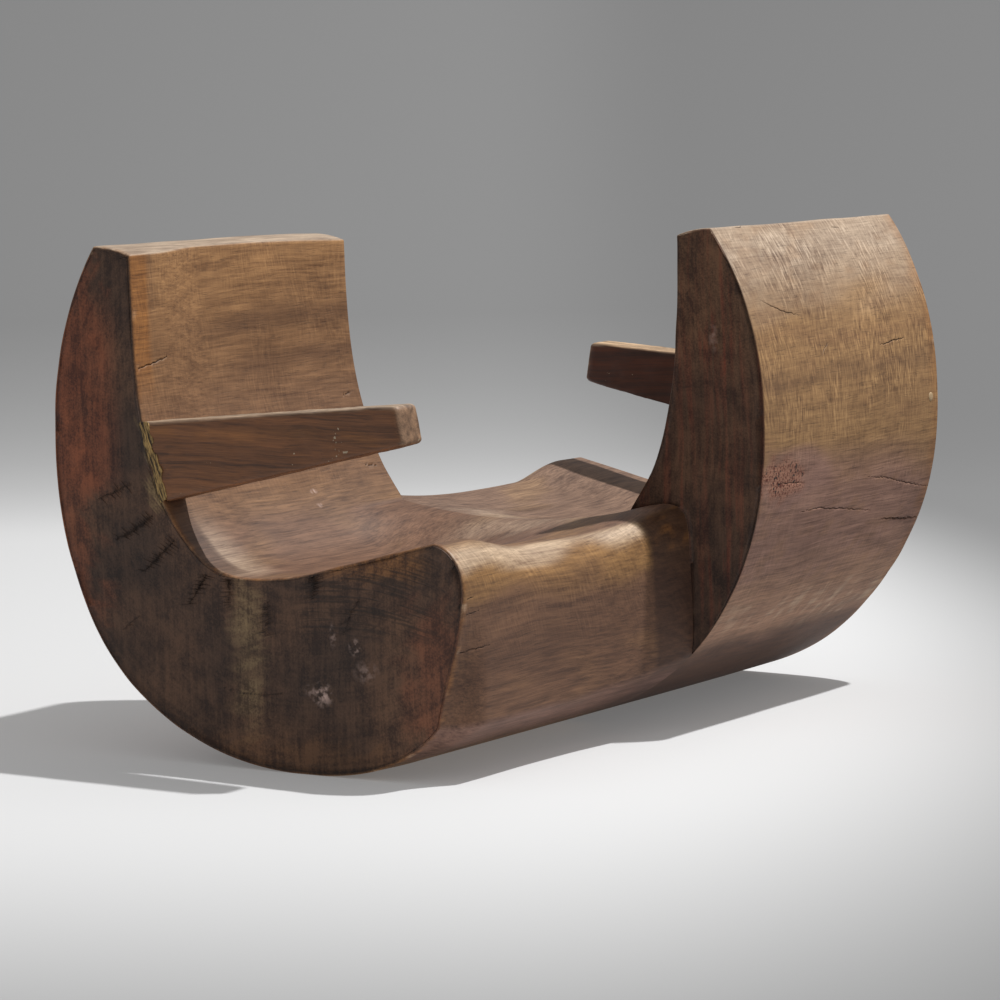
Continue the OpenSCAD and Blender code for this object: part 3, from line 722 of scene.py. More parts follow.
    # Worn edges, smeared putty beside the near arm, and the knot on the far back
    edge = ease((deep - HALF_W + 13) / 8) * (1 - facing(np.abs(normals[:, 1]), 0.85, 0.97))
    paint(edge * ease(0.5 + 0.5 * fine + 0.4 * small), look.orange, 0.45)
    paint(edge * ease(0.8 * fine - 0.5), look.rubbed, 0.35)
    foot, _, up, out = shoulder()
    flat = points[:, [0, 2]] - foot
    beyond, height = flat @ out + 5 * fine, flat @ up
    smear = end * near * band(beyond, -26, 6, 16) * band(height, -12, 140, 20)
    paint(smear * ease(0.35 + 0.5 * small + 0.5 * fine), look.putty_smear, 0.55)
    far_round = outer * far
    rim = ease((1.25 - np.hypot((y - 115) / 120, (z - 436) / 52) + 0.22 * small) / 0.5) * far_round
    knot = ease((1.15 - np.hypot((y - 72) / 78, (z - 436) / 38) + 0.2 * fine) / 0.4) * far_round
    paint(rim, look.purple_brown, 0.75)
    paint(knot, look.knot_tan, 0.45)
    paint(far_round * band(z + 12 * small + 0.04 * y, 168, 226, 34) * ease(0.45 * fine + 0.4 * small + 0.1),
          look.rubbed, 0.34)

    polish = np.clip(front * band(z, 335, 420, 40) + 0.7 * top + 0.6 * seat + 0.35 * back, 0, 1)
    ribs = 0.45 * front * band(z, 200, 430, 90) + 0.4 * back
    ribs += outer * (0.35 + 0.65 * band(z, 520, 880, 140))
    arcs = end * near * band(own_x, 0, 270, 90) * band(z, 236, 372, 40)
    marks = {"polish": polish, "ribs": ribs, "knot": knot, "end": end, "red": red, "arcs": arcs}
    marks = {name: np.clip(share, 0, 1) for name, share in marks.items()}
    marks["across"] = (y + 0.5 * z * front) / 1000
    return np.clip(colour, 0, 1), marks


def add_mesh(name, points, triangles, material, nodes, marks=None, colours=None):
    """A smooth closed piece from points in millimetres, riding on the chair and standing for its nodes."""
    mesh = bpy.data.meshes.new(name)
    mesh.vertices.add(len(points))
    mesh.vertices.foreach_set("co", (points / 1000).astype(np.float32).ravel())
    corners = triangles.shape[1]
    mesh.loops.add(triangles.size)
    mesh.loops.foreach_set("vertex_index", triangles.astype(np.int32).ravel())
    mesh.polygons.add(len(triangles))
    mesh.polygons.foreach_set("loop_start", np.arange(0, triangles.size, corners, dtype=np.int32))
    mesh.update(calc_edges=True)
    mesh.polygons.foreach_set("use_smooth", np.ones(len(triangles), dtype=bool))
    for key, values in (marks or {}).items():
        layer = mesh.attributes.new(key, "FLOAT", "POINT")
        layer.data.foreach_set("value", values.astype(np.float32))
    if colours is not None:
        layer = mesh.attributes.new("tint", "FLOAT_COLOR", "POINT")
        rgba = np.concatenate([colours, np.ones((len(colours), 1))], axis=1)
        layer.data.foreach_set("color", rgba.astype(np.float32).ravel())
    mesh.materials.append(material)
    mesh.validate()
    piece = bpy.data.objects.new(name, mesh)
    bpy.context.scene.collection.objects.link(piece)
    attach(piece, "root")
    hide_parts(*nodes)


class Graph:
    """The nodes of one new material: its shader and its output are joined, and its place is the point in
    the object. Each method adds a node and gives its output. What goes in is a value or an output."""

    def __init__(self, name):
        self.material = bpy.data.materials.new(name)
        self.material.use_nodes = True
        self.tree = self.material.node_tree
        self.tree.nodes.clear()
        self.shader = self.add("BsdfPrincipled")
        self.output = self.add("OutputMaterial", {"Surface": self.shader.outputs[0]})
        self.place = self.add("TexCoord").outputs["Object"]

    def put(self, node, inputs):
        """Gives a node its inputs, by name or number."""
        for key, value in inputs.items():
            if isinstance(value, bpy.types.NodeSocket):
                self.tree.links.new(value, node.inputs[key])
            else:
                node.inputs[key].default_value = value

    def add(self, kind, inputs=None, **settings):
        """One node of any kind, with settings of its own."""
        node = self.tree.nodes.new("ShaderNode" + kind)
        for key, value in settings.items():
            setattr(node, key, value)
        self.put(node, inputs or {})
        return node

    def attribute(self, name, output="Fac"):
        """A value or colour that the mesh carries at each point."""
        return self.add("Attribute", attribute_name=name).outputs[output]

    def math(self, operation, *values):
        """A sum, product or the like of numbers."""
        return self.add("Math", dict(enumerate(values)), operation=operation).outputs[0]

    def total(self, start, *rows):
        """A start plus a part times its weight for each row."""
        for part, weight in rows:
            start = self.math("MULTIPLY_ADD", part, weight, start)
        return start

    def vector(self, operation, *values):
        """A sum, product or the like of vectors."""
        return self.add("VectorMath", dict(enumerate(values)), operation=operation).outputs[0]

    def length(self, vector):
        """How long a vector is."""
        return self.add("VectorMath", {0: vector}, operation="LENGTH").outputs["Value"]

    def parts(self, vector):
        """The x, y and z of a vector."""
        return self.add("SeparateXYZ", {0: vector}).outputs

    def joined(self, *values):
        """A vector from its x, y and z."""
        return self.add("CombineXYZ", dict(enumerate(values))).outputs[0]

    def scaled(self, vector, scale):
        """A place with each axis stretched."""
        return self.add("Mapping", {"Vector": vector, "Scale": scale}).outputs[0]

    def noise(self, vector, scale=1.0, detail=2.0, roughness=0.5, output="Fac"):
        """Noise at a place, about 0.5."""
        inputs = {"Vector": vector, "Scale": scale, "Detail": detail, "Roughness": roughness}
        return self.add("TexNoise", inputs).outputs[output]

    def remap(self, value, low, high, to_low=0.0, to_high=1.0, **settings):
        """A value taken from one range to another and held there."""
        inputs = {"Value": value, "From Min": low, "From Max": high, "To Min": to_low, "To Max": to_high}
        return self.add("MapRange", inputs, **settings).outputs[0]

    def mixed(self, share, one, two):
        """The number that share of the way from one to two."""
        return self.add("Mix", {0: share, 2: one, 3: two}).outputs[0]

    def blend(self, share, one, two, blend_type="MIX"):
        """Two colours blended by a share."""
        node = self.add("Mix", {0: share, 6: one, 7: two}, data_type="RGBA", blend_type=blend_type)
        return node.outputs[2]

    def toned(self, tint, value, spread, deep, pale):
        """The tint, times deep at the low end of the spread of a value and times pale at the high end."""
        one, two = (self.blend(1.0, tint, (*tone, 1), "MULTIPLY") for tone in (deep, pale))
        return self.blend(self.remap(value, *spread), one, two)

    def finished(self, colour, rough, height, strength, distance):
        """The material, with its shader given a colour, a roughness and a bump of the height."""
        bump = self.add("Bump", {"Strength": strength, "Distance": distance, "Height": height}).outputs[0]
        self.put(self.shader, {"Base Color": colour, "Roughness": rough, "Normal": bump})
        return self.material


def log_wood():
    """Old tropical hardwood, sawn, carved and worn bare by use: end grain on the sawn flats and long
    grain elsewhere. The eye sees fibres along Y, pores, rings cut by the carving, and a faint ripple."""
    wood = Graph("hand_carved_hardwood")
    place = wood.place
    tint = wood.attribute("tint", "Color")
    crack, polish, ribs, across = (wood.attribute(name) for name in ("crack", "polish", "ribs", "across"))
    sawn, knot, red, arcs = (wood.attribute(name) for name in ("end", "knot", "red", "arcs"))

    # The place, bent by a slow noise so that no pattern runs dead straight
    bend = wood.vector("SUBTRACT", wood.noise(place, 3.2, output="Color"), (0.5, 0.5, 0.5))
    bent = wood.vector("ADD", place, wood.vector("MULTIPLY", bend, (0.026, 0.1, 0.026)))
    bent_x, bent_y, bent_z = wood.parts(bent)

    # Rings: the distance from the pith, in rings about 6 mm wide
    out = wood.vector("MULTIPLY", wood.vector("SUBTRACT", bent, (0, 0, PITH_H / 1000)), (1, 0, 1))
    radius = wood.length(out)
    ring_at = wood.joined(wood.math("MULTIPLY", radius, 85.0), wood.math("MULTIPLY", bent_y, 3.0))
    rings = wood.noise(ring_at, detail=3.0, roughness=0.55)

    # Fibres about 4 mm apart and 140 mm long, and pores drawn 1 mm wide, coarser than real, to show
    fibres = wood.noise(wood.scaled(bent, (260, 7, 260)), detail=5.0, roughness=0.62)
    pores = wood.remap(wood.noise(wood.scaled(place, (620, 38, 620)), detail=1.0), 0.6, 0.72)

    # Ripple across the grain: short wavy streaks about 8 mm apart, which run round the log in patches
    place_x, _, place_z = wood.parts(place)
    sway = wood.math("MULTIPLY_ADD", wood.noise(place, 3.2), 0.11, across)
    streaks = wood.noise(wood.scaled(wood.joined(place_x, sway, place_z), (44, 230, 44)))
    patches = wood.remap(wood.noise(place, 9.0), 0.38, 0.6, 0.3)
    ripple = wood.math("MULTIPLY", wood.math("SUBTRACT", streaks, 0.5), ribs)
    ripple = wood.math("MULTIPLY", ripple, patches)
    crests = wood.remap(ripple, 0.05, 0.17, 0.0, 0.5)

    # Long grain in one value about 0.5: rings, mottle, fibres and ripple together
    mottle = wood.noise(wood.scaled(bent, (58, 11, 58)), detail=5.0, roughness=0.6)
    grain = wood.math("MULTIPLY_ADD", rings, 0.26, 0.37)
    for part, plain, ribbed in ((mottle, 0.46, 0.24), (fibres, 0.74, 0.3)):
        weight = wood.remap(ribs, 0.0, 1.0, plain, ribbed)
        grain = wood.total(grain, (wood.math("SUBTRACT", part, 0.5), weight))
    grain = wood.total(grain, (ripple, 0.8))

    # End grain in one value about 0.5: uneven upright streaks, rings, stains and speckle, widened
    saw = wood.noise(wood.scaled(bent, (120, 1, 7)), detail=6.0, roughness=0.62)
    stain = wood.noise(bent, 24.0, 6.0, 0.6)
    speck = wood.noise(place, 300.0, 3.0)
    cut = wood.total(0.0, (saw, 0.26), (rings, 0.18), (stain, 0.34), (speck, 0.22))
    cut = wood.remap(cut, 0.39, 0.61, 0.18, 0.82)

    # Radial checks of the end grain: thin dark lines along the rays
    out_x, _, out_z = wood.parts(out)
    angle = wood.math("MULTIPLY", wood.math("ARCTAN2", out_z, out_x), 46.0)
    rays = wood.remap(wood.noise(wood.joined(angle, wood.math("MULTIPLY", radius, 9.0))), 0.68, 0.74)

    # Growth arcs under the near seat's edge: lines of equal z + 0.9 (x - 0.08) squared, 5 to 10 mm apart
    from_top = wood.math("SUBTRACT", bent_x, 0.08)
    arc_no = wood.total(bent_z, (wood.math("MULTIPLY", from_top, from_top), 0.9))
    arc_lines = wood.noise(wood.scaled(wood.joined(arc_no, bent_x), (190, 9, 1)))
    arc_share = wood.math("MULTIPLY", wood.remap(arc_lines, 0.5, 0.6), arcs)

    # Red heartwood in the flats at the middle: long upright streaks
    red_streaks = wood.remap(wood.noise(wood.scaled(bent, (75, 1, 4)), detail=3.0), 0.48, 0.64)
    tint = wood.blend(wood.math("MULTIPLY", red_streaks, red), tint, linear("#6c3220"))

    # The grain darkens and lightens the tint, and the ripple's crests shine a little blue as a painted
    # sheen
    value = wood.mixed(sawn, grain, cut)
    colour = wood.toned(tint, value, (0.3, 0.7), (0.46, 0.38, 0.36), (1.62, 1.62, 1.62))
    colour = wood.blend(crests, colour, wood.blend(1.0, tint, (1.75, 1.8, 1.9, 1), "MULTIPLY"))

    # Pale rubs on the near end, two flecks on the near back and a mark by the far one, with ragged edges
    ragged = wood.noise(place, 110.0, 4.0)
    rubs = 0.0
    for centre, half_size, strength in RUBS:
        off = wood.vector("SUBTRACT", place, [c / 1000 for c in centre])
        off = wood.length(wood.vector("MULTIPLY", off, [1000 / c for c in half_size]))
        rubs = wood.math("MAXIMUM", wood.remap(off, 1.0, 0.2, 0.0, strength), rubs)
    rubs = wood.math("MULTIPLY", rubs, wood.remap(ragged, 0.42, 0.62))
    colour = wood.blend(rubs, colour, linear("#c9aca0"))

    # Red-brown speckle of the knot
    dots = wood.math("MULTIPLY", wood.remap(wood.noise(place, 230.0), 0.53, 0.59), knot)
    colour = wood.blend(dots, colour, linear("#5c2817"))

    # Dark marks: pores on long grain, checks on end grain, worm holes in the knot, and the cracks
    holes = wood.math("MULTIPLY", wood.remap(wood.noise(place, 150.0, 1.0), 0.64, 0.68), knot)
    crack = wood.math("MULTIPLY", crack, wood.remap(ragged, 0.4, 0.52, 0.45))
    dark = wood.total(0.0, (wood.mixed(sawn, pores, rays), 0.32), (arc_share, 0.6))
    dark = wood.math("MAXIMUM", wood.math("MAXIMUM", dark, holes), crack)
    colour = wood.blend(dark, colour, linear("#1c120d"))

    rough = wood.total(wood.remap(polish, 0.0, 1.0, 0.66, 0.42), (fibres, 0.12))
    return wood.finished(colour, rough, wood.total(value, (dark, -0.8)), 0.45, 0.0012)


def arm_wood():
    """Darker hardwood board, sawn with its grain along X and worn smooth: the eye sees straight brown
    streaks, an ochre one among them, a few pale specks, and a greyer sawn end."""
    wood = Graph("dark_hardwood_board")
    place = wood.place
    bent = wood.vector("MULTIPLY_ADD", wood.noise(place, 5.0, output="Color"), (0.06, 0.02, 0.02), place)
    streaks = wood.noise(wood.scaled(bent, (3, 80, 80)), detail=4.0, roughness=0.6)
    fibres = wood.noise(wood.scaled(bent, (16, 620, 620)), detail=3.0)
    value = wood.total(0.0, (streaks, 0.65), (fibres, 0.35))
    tint = wood.attribute("tint", "Color")
    colour = wood.toned(tint, value, (0.36, 0.66), (0.36, 0.32, 0.31), (1.7, 1.66, 1.6))
    # Specks of paint, 2 to 4 mm wide, where two noises both peak
    specks = wood.math("MULTIPLY", wood.noise(place, 150.0), wood.noise(place, 21.0, 1.0))
    colour = wood.blend(wood.remap(specks, 0.445, 0.465), colour, linear("#a8977e"))
    return wood.finished(colour, wood.remap(fibres, 0.0, 1.0, 0.42, 0.66), value, 0.4, 0.001)


def peg_wood():
    """Turned pale hardwood dowel, driven in and cut off: the eye sees its end grain's small dark pores."""
    wood = Graph("pale_hardwood_dowel")
    grain = wood.noise(wood.scaled(wood.place, (30, 700, 700)), detail=3.0)
    colour = wood.blend(grain, linear("#7d6244"), linear("#d2b68e"))
    return wood.finished(colour, 0.62, grain, 0.5, 0.0006)


def joint_putty():
    """Wood putty pressed in by hand and dried: the eye sees matt yellowish tan, dark splits along the
    joint and crumbs. The noise is drawn out up the joint, which leans from the upright."""
    putty = Graph("dried_wood_putty")
    up = shoulder()[2]
    lean = {"Vector": putty.place, "Scale": (0.0034, 0.02, 0.026), "Rotation": (0, math.atan2(*up), 0)}
    split_at = putty.add("Mapping", lean, vector_type="TEXTURE").outputs[0]
    lumps = putty.noise(split_at, detail=5.0, roughness=0.68)
    colour = putty.blend(putty.remap(lumps, 0.43, 0.62), linear("#2c1f14"), linear("#b5945c"))
    return putty.finished(colour, 0.85, lumps, 0.8, 0.002)


def shoulder():
    """The shoulder of an arm at the margin of the back: its foot, its top, the way up and the way out."""
    y = np.array([-HALF_W])
    _, top_h, _ = top_heights(y, NEAR_HALF)
    margin = line_at(seat_line(SEAT_LOW_H, FRONT_EDGE_H, BACK_ARM_X, BACK_TOP_X, top_h),
                     np.linspace(3, 8, 11))[0]
    heights = np.array([ARM_TOP_H - ARM_ROOT_H, ARM_TOP_H])
    foot, top = placed(np.interp(heights, margin[:, 1], margin[:, 0]), heights)
    up = unit(top - foot)
    return foot, top, up, np.array([up[1], -up[0]])


def rounded_box(size, radius_at, steps):
    """A closed box about the origin whose edges are rounded: a point of the box is drawn back to the
    inner box, which is smaller by the radius there, and pushed out from it by that radius."""
    half = np.array(size) / 2
    patches = []
    for axis in range(3):
        u, v = (axis + 1) % 3, (axis + 2) % 3
        a, b = np.meshgrid(*(np.linspace(-1, 1, steps[i] + 1) for i in (u, v)), indexing="ij")
        for sign in (1, -1):
            face = np.empty(a.shape + (3,))
            face[..., axis], face[..., u], face[..., v] = sign, a, b
            triangles = grid_triangles(steps[u] + 1, steps[v] + 1)
            patches.append((face.reshape(-1, 3) * half, triangles[:, ::-1] if sign > 0 else triangles))
    points, triangles = welded(patches)
    radius = radius_at(points[:, 0] / half[0])[:, None]
    inner = np.clip(points, radius - half, half - radius)
    off = points - inner
    moved = (np.abs(off).max(axis=1) > 0)[:, None]
    return inner + unit(off) * radius * moved, triangles


def arm_surface(lift, deeper, longer, putty_gap):
    """An arm at the near seat in millimetres. A rounded box is laid on the tapered side outline: how far
    along it a point is and how high give its place between the outline's four corners."""
    foot, top, up, out = shoulder()
    foot, top = foot - out * HOUSING_D - up * deeper, top - out * HOUSING_D
    tip_top = np.array([ARM_TIP_X + longer - ARM_TIP_LEAN, ARM_TOP_H + ARM_RISE])
    tip_foot = np.array([ARM_TIP_X + longer, ARM_TOP_H + ARM_RISE - ARM_TIP_H - deeper])
    length = tip_foot[0] - foot[0]

    def radius(share):
        """How round the edges are: the last of the board towards its tip is worn rounder."""
        return mix(ARM_EDGE_R, ARM_TIP_R * 0.85, ease((share - 0.86) / 0.14))

    points, triangles = rounded_box((length, ARM_T, ARM_BOX_H), radius, ARM_STEPS)
    s = (points[:, 0] / length + 0.5)[:, None]
    h = (points[:, 2] / ARM_BOX_H + 0.5)[:, None]
    flat = mix(mix(foot, tip_foot, s), mix(top, tip_top, s), h)
    y = points[:, 1] + ARM_T / 2 - HALF_W
    away = (flat - foot) @ out
    bevel = putty_gap * np.clip(1 - (y + HALF_W) / PUTTY_D, 0, 1)
    flat = flat + out * np.clip(bevel - away, 0, None)[:, None] + up * lift
    board = placed(flat[:, 0], y, flat[:, 1])
    normals = vertex_normals(board, triangles)
    wear = 0.5 * waves(board, 70, 20, 11) + 0.25 * waves(board, 22, 20, 12)
    return board + normals * wear[:, None] * 0.8, triangles


def arm_colours(points, normals, look, longer, ochre, shade_tones):
    """The arm's colour: brown, an ochre streak below its middle, a bleached top, a painted highlight
    along the upper edge, and a greyer tip. The far arm also gets painted shade and painted light on its
    top.
    """
    x, _, z = points.T
    colour = np.tile(np.array(look.arm_brown[:3]), (len(points), 1))
    slope = z - 556 + 9 * waves(points * [0.25, 1, 1], 90, 20, 14)
    streak = ease(1.3 - np.abs(slope) / 13) * (0.5 + 0.5 * np.tanh(waves(points, 80, 20, 15)))
    colour = mix(colour, np.array(look.orange[:3]), (ochre * streak)[:, None])
    # Painted shade: the whole colour times the arm's first tone, which darkens the far arm
    colour = colour * shade_tones[0]
    # A bleached top, which the far arm's second tone lightens as painted light
    top = ease((normals[:, 2] - 0.45) / 0.4)
    colour = mix(colour, np.array(look.sun_bleached[:3]) * shade_tones[1], (0.85 * top)[:, None])
    # Painted highlight along the upper rounded edge, in the rubbed colour
    edge = ease((normals[:, 2] - 0.1) / 0.3) * (1 - top)
    colour = mix(colour, np.array(look.rubbed[:3]), (0.3 * edge)[:, None])
    tip = ease((normals[:, 0] - 0.25) / 0.4) * ease((x - ARM_TIP_X - longer + 40) / 20)
    return mix(colour, np.array(look.arm_end[:3]), (0.85 * tip)[:, None])


def turned_far(points):
    """Points of the near half turned half a turn about Z, which makes them the far half's."""
    return points * [-1, -1, 1]


def peg_surface(lift):
    """A peg in millimetres: its profile carried round an axis along X, with domed, chamfered ends."""
    foot, _, up, _ = shoulder()
    rise = up * lift
    z = PEG_H + rise[1]
    start = -round_x(np.array(z)) - PEG_PROUD
    end = foot[0] + (PEG_H - foot[1]) * up[0] / up[1] + PEG_IN_ARM + rise[0]
    r = PEG_D / 2
    # The dome of an end: how far in from it, and how far from the axis
    profile = np.array([(0.0, 0.0), (0.15, r * 0.5), (0.45, r * 0.8), (1.4, r)])
    far_side = profile[::-1] * [-1, 1] + [end, 0]
    middle = placed(np.linspace(start + PEG_STRAIGHT, end - PEG_STRAIGHT, PEG_N), r)
    line = np.concatenate([profile + [start, 0], middle, far_side])
    turn = np.linspace(0, 2 * math.pi, PEG_ROUND_N, endpoint=False)
    y = ARM_T / 2 - HALF_W + line[:, 1, None] * np.cos(turn)
    points = placed(line[:, :1], y, z + line[:, 1, None] * np.sin(turn))
    return welded([(points.reshape(-1, 3), grid_triangles(len(line), PEG_ROUND_N, closed=True))])


def putty_surface():
    """The putty in the near arm's open joint, in millimetres: a wedge in cross-section, carried up the
    shoulder, whose outer side bulges and whose width comes and goes by waves."""
    foot, top, up, out = shoulder()
    height = np.linalg.norm(top - foot)
    foot = foot - out * HOUSING_D
    along = np.linspace(-PUTTY_PAST_FOOT, height + PUTTY_PAST_TOP, PUTTY_N)
    turn = np.linspace(0, 2 * math.pi, PUTTY_ROUND_N, endpoint=False)
    spine = placed(foot[0] + up[0] * along, -HALF_W, foot[1] + up[1] * along)
    to_end = np.minimum(along + PUTTY_PAST_FOOT, height + PUTTY_PAST_TOP - along)
    taper = ease(to_end / 5)[:, None]
    wobble = 1 + 0.22 * waves(spine, 26, 14, 21)[:, None]
    shift = 1.6 * waves(spine, 40, 14, 22)[:, None]
    across = (PUTTY_W + 3) / 2 * (1 + np.cos(turn)) * wobble * taper + shift - 1
    into, bulging = np.clip(np.sin(turn), 0, 1), np.clip(-np.sin(turn), 0, 1)
    inside = PUTTY_D * 0.9 * into * np.clip(1 - across / (PUTTY_W * 1.4), 0.1, 1)
    y = -HALF_W + (inside - PUTTY_BULGE * bulging ** 0.5 * wobble) * taper
    body = placed(spine[:, :1] + out[0] * across, y, spine[:, 2:] + out[1] * across)
    lumps = waves(body.reshape(-1, 3), 9, 20, 23).reshape(y.shape)
    body[..., 1] -= 0.42 * lumps * bulging
    fan = grid_triangles(2, PUTTY_ROUND_N, closed=True)
    patches = [(body.reshape(-1, 3), grid_triangles(PUTTY_N, PUTTY_ROUND_N, closed=True))]
    for ring, triangles in ((body[0], fan[:, ::-1]), (body[-1], fan)):
        centre = np.broadcast_to(ring.mean(0), ring.shape)
        patches.append((np.concatenate([ring, centre]), triangles))
    return welded(patches)


def outward(points, triangles):
    """The triangles, all turned over if the volume inside them comes out negative."""
    a, b, c = (points[triangles[:, i]] for i in range(3))
    return triangles if (np.cross(a, b) * c).sum() > 0 else triangles[:, ::-1]


class ChairCarving(bpy.types.PropertyGroup):
    """How far use and age have gone."""

    end_wear: FloatProperty(name="End wear", description="Rounding of the sawn ends' edges, in millimetres",
                            default=END_WEAR, min=1, max=9)
    wave_depth: FloatProperty(name="Waves", description="Unevenness left by carving, in millimetres",
                              default=1.4, min=0, max=3)
    crack_scale: FloatProperty(name="Cracks", description="Width of the cracks against the real ones",
                               default=0.66, min=0.3, max=2)


def shade(name, description, hex_colour):
    """A colour property with its default from sRGB hex."""
    return FloatVectorProperty(name=name, description=description, subtype="COLOR", size=4, min=0, max=1,
                               default=linear(hex_colour))


class ChairColours(bpy.types.PropertyGroup):
    """Colours of the wood by place."""

    long_grain: shade("Long grain", "The carved round of the log", "#8f6e48")
    sun_bleached: shade("Sun-bleached", "The tops and the upper round", "#a3917d")
    golden: shade("Golden", "The rubbed front edges", "#89663d")
    back_gold: shade("Back top", "The upper part of a backrest", "#a27a4f")
    front_brown: shade("Front", "The fronts under the seats", "#654834")
    back_brown: shade("Back", "The inner face of a backrest", "#836141")
    seat_pink: shade("Seat", "The seats and the low part of the backs", "#6a4e3d")
    knot_tan: shade("Knot", "Ground of the knot on the far back", "#9c6a50")
    purple_brown: shade("Purple brown", "The lower round", "#85655a")
    # Dark brown also paints shade: the other back's shadow on the fronts, the arms' shadows on the margins,
    # and the undersides
    dark_brown_and_shade: shade("Dark brown", "Bands of heartwood and dirt", "#4a3021")
    orange: shade("Orange", "Edges rubbed to fresh wood", "#8d5d2d")
    end_grain: shade("End grain", "The sawn ends", "#533a29")
    # Dark end grain also paints shade in the fronts' dark band beside the middle
    end_dark_and_shade: shade("Dark end grain", "Heart of the sawn ends", "#38271d")
    end_red: shade("Red end grain", "Outer zone of the sawn ends", "#743f26")
    arm_brown: shade("Arms", "The arms' boards", "#6a4326")
    arm_end: shade("Arm end", "The sawn tips of the arms", "#816751")
    # Rubbed also paints highlights: on the fronts' top edges, on two patches of the seats and along the
    # arms' upper edges
    rubbed: shade("Rubbed", "Edges polished by hands and clothes", "#c6b39b")
    streak: shade("Pale streak", "Yellowish streak down the near end", "#7f6c4d")
    putty_smear: shade("Putty smear", "Putty wiped over the end grain", "#8e7a53")


class ChairStage(bpy.types.PropertyGroup):
    """The lamp and the light from all round."""

    lamp_power: FloatProperty(name="Lamp", description="Power of the key lamp", default=3450, min=0,
                              unit="POWER")
    fill: FloatProperty(name="Fill", description="Strength of the even light from all round", default=0.42,
                        min=0)
    lamp_size: FloatProperty(name="Lamp size", description="Radius of the key lamp", default=0.12, min=0.01,
                             unit="LENGTH")


class OBJECT_OT_carved_log(bpy.types.Operator):
    """Makes the log with both seats, both backs and the rocker under them"""

    bl_idname = "object.rocking_chair_log"
    bl_label = "Carved log"

    def execute(self, context):
        carving = context.scene.chair_carving
        points, triangles, crack, normals = carved_log(carving.end_wear, carving.wave_depth,
                                                       carving.crack_scale)
        triangles = outward(points, triangles)
        colours, marks = log_colours(points, normals, context.scene.chair_colours)
        marks["crack"] = crack
        add_mesh("carved_log", points, triangles, log_wood(), ["log_body"], marks, colours)
        return {"FINISHED"}


class OBJECT_OT_chair_arms(bpy.types.Operator):
    """Makes the two arms"""

    bl_idname = "object.rocking_chair_arms"
    bl_label = "Arms"

    def execute(self, context):
        look = context.scene.chair_colours
        wood = arm_wood()
        far_shape = (FAR_ARM_LIFT, FAR_ARM_DEEPER, FAR_ARM_LONGER, 0)
        for name, shape, ochre, shade_tones in (("near_arm_board", (0, 0, 0, PUTTY_W), 0.4, NEAR_ARM_TONES),
                                          ("far_arm_board", far_shape, 0.1, FAR_ARM_SHADE_TONES)):
            points, triangles = arm_surface(*shape)
            triangles = outward(points, triangles)
            normals = vertex_normals(points, triangles)
            colours = arm_colours(points, normals, look, shape[2], ochre, shade_tones)
            if name.startswith("far"):
                points = turned_far(points)
            add_mesh(name, points, triangles, wood, [name.replace("_board", "")], None, colours)
        return {"FINISHED"}


class OBJECT_OT_chair_pegs(bpy.types.Operator):
    """Makes the peg that holds each arm from the back"""

    bl_idname = "object.rocking_chair_pegs"
    bl_label = "Pegs"

    def execute(self, context):
        wood = peg_wood()
        for name, lift in (("near_arm_dowel", 0), ("far_arm_dowel", FAR_ARM_LIFT)):
            points, triangles = peg_surface(lift)
            if name.startswith("far"):
                points = turned_far(points)
            add_mesh(name, points, outward(points, triangles), wood,
                     [name.replace("dowel", "peg")])
        return {"FINISHED"}


class OBJECT_OT_joint_putty(bpy.types.Operator):
    """Makes the putty in the near arm's open joint"""

    bl_idname = "object.rocking_chair_putty"
    bl_label = "Putty"

    def execute(self, context):
        points, triangles = putty_surface()
        add_mesh("near_joint_putty", points, outward(points, triangles), joint_putty(),
                 ["near_arm_putty"])
        return {"FINISHED"}


def studio_paint():
    """Matt studio paint: the eye sees a pale floor with a painted pool of light, which darkens towards
    the camera and the sides, and a wall that turns from the floor's white to grey within 0.2 metre, as
    exp(-height / 0.073 m). Its glow lightens the shadows, and from behind the sheet is clear, so that
    the chair shows from every side."""
    paint = Graph("matt_studio_paint")
    turn = {"Vector": paint.place, "Rotation": (0, 0, -CAMERA_AZIMUTH)}
    right, behind, up = paint.parts(paint.add("Mapping", turn).outputs[0])
    climb = paint.math("EXPONENT", paint.math("MULTIPLY", up, -1 / WALL_FADE))
    base = paint.blend(climb, linear("#b8b8b8"), linear("#cbcbcb"))

    # The distance from the middle of the bright patch, a painted pool of light which darkens from 1.8
    # to 4.2 metres out
    to_right = paint.math("MULTIPLY_ADD", right, 2.8, 0.35)
    to_left = paint.math("MULTIPLY_ADD", right, -0.27, -0.03)
    behind = paint.math("SUBTRACT", paint.math("MINIMUM", behind, 4.7), 1.0)
    gap = paint.length(paint.joined(paint.math("MAXIMUM", to_right, to_left), behind))
    fall = paint.remap(gap, 1.8, 4.2, 1.0, 0.345, interpolation_type="SMOOTHSTEP")
    colour = paint.add("VectorMath", {0: base, "Scale": fall}, operation="SCALE").outputs[0]
    paint.put(paint.shader, {"Base Color": colour, "Emission Color": colour, "Emission Strength": 0.22,
                             "Roughness": 0.95, "Specular IOR Level": 0.1})
    from_behind = paint.add("NewGeometry").outputs["Backfacing"]
    clear = paint.add("BsdfTransparent").outputs[0]
    seen = paint.add("MixShader", {0: from_behind, 1: paint.shader.outputs[0], 2: clear}).outputs[0]
    paint.put(paint.output, {"Surface": seen})
    return paint.material


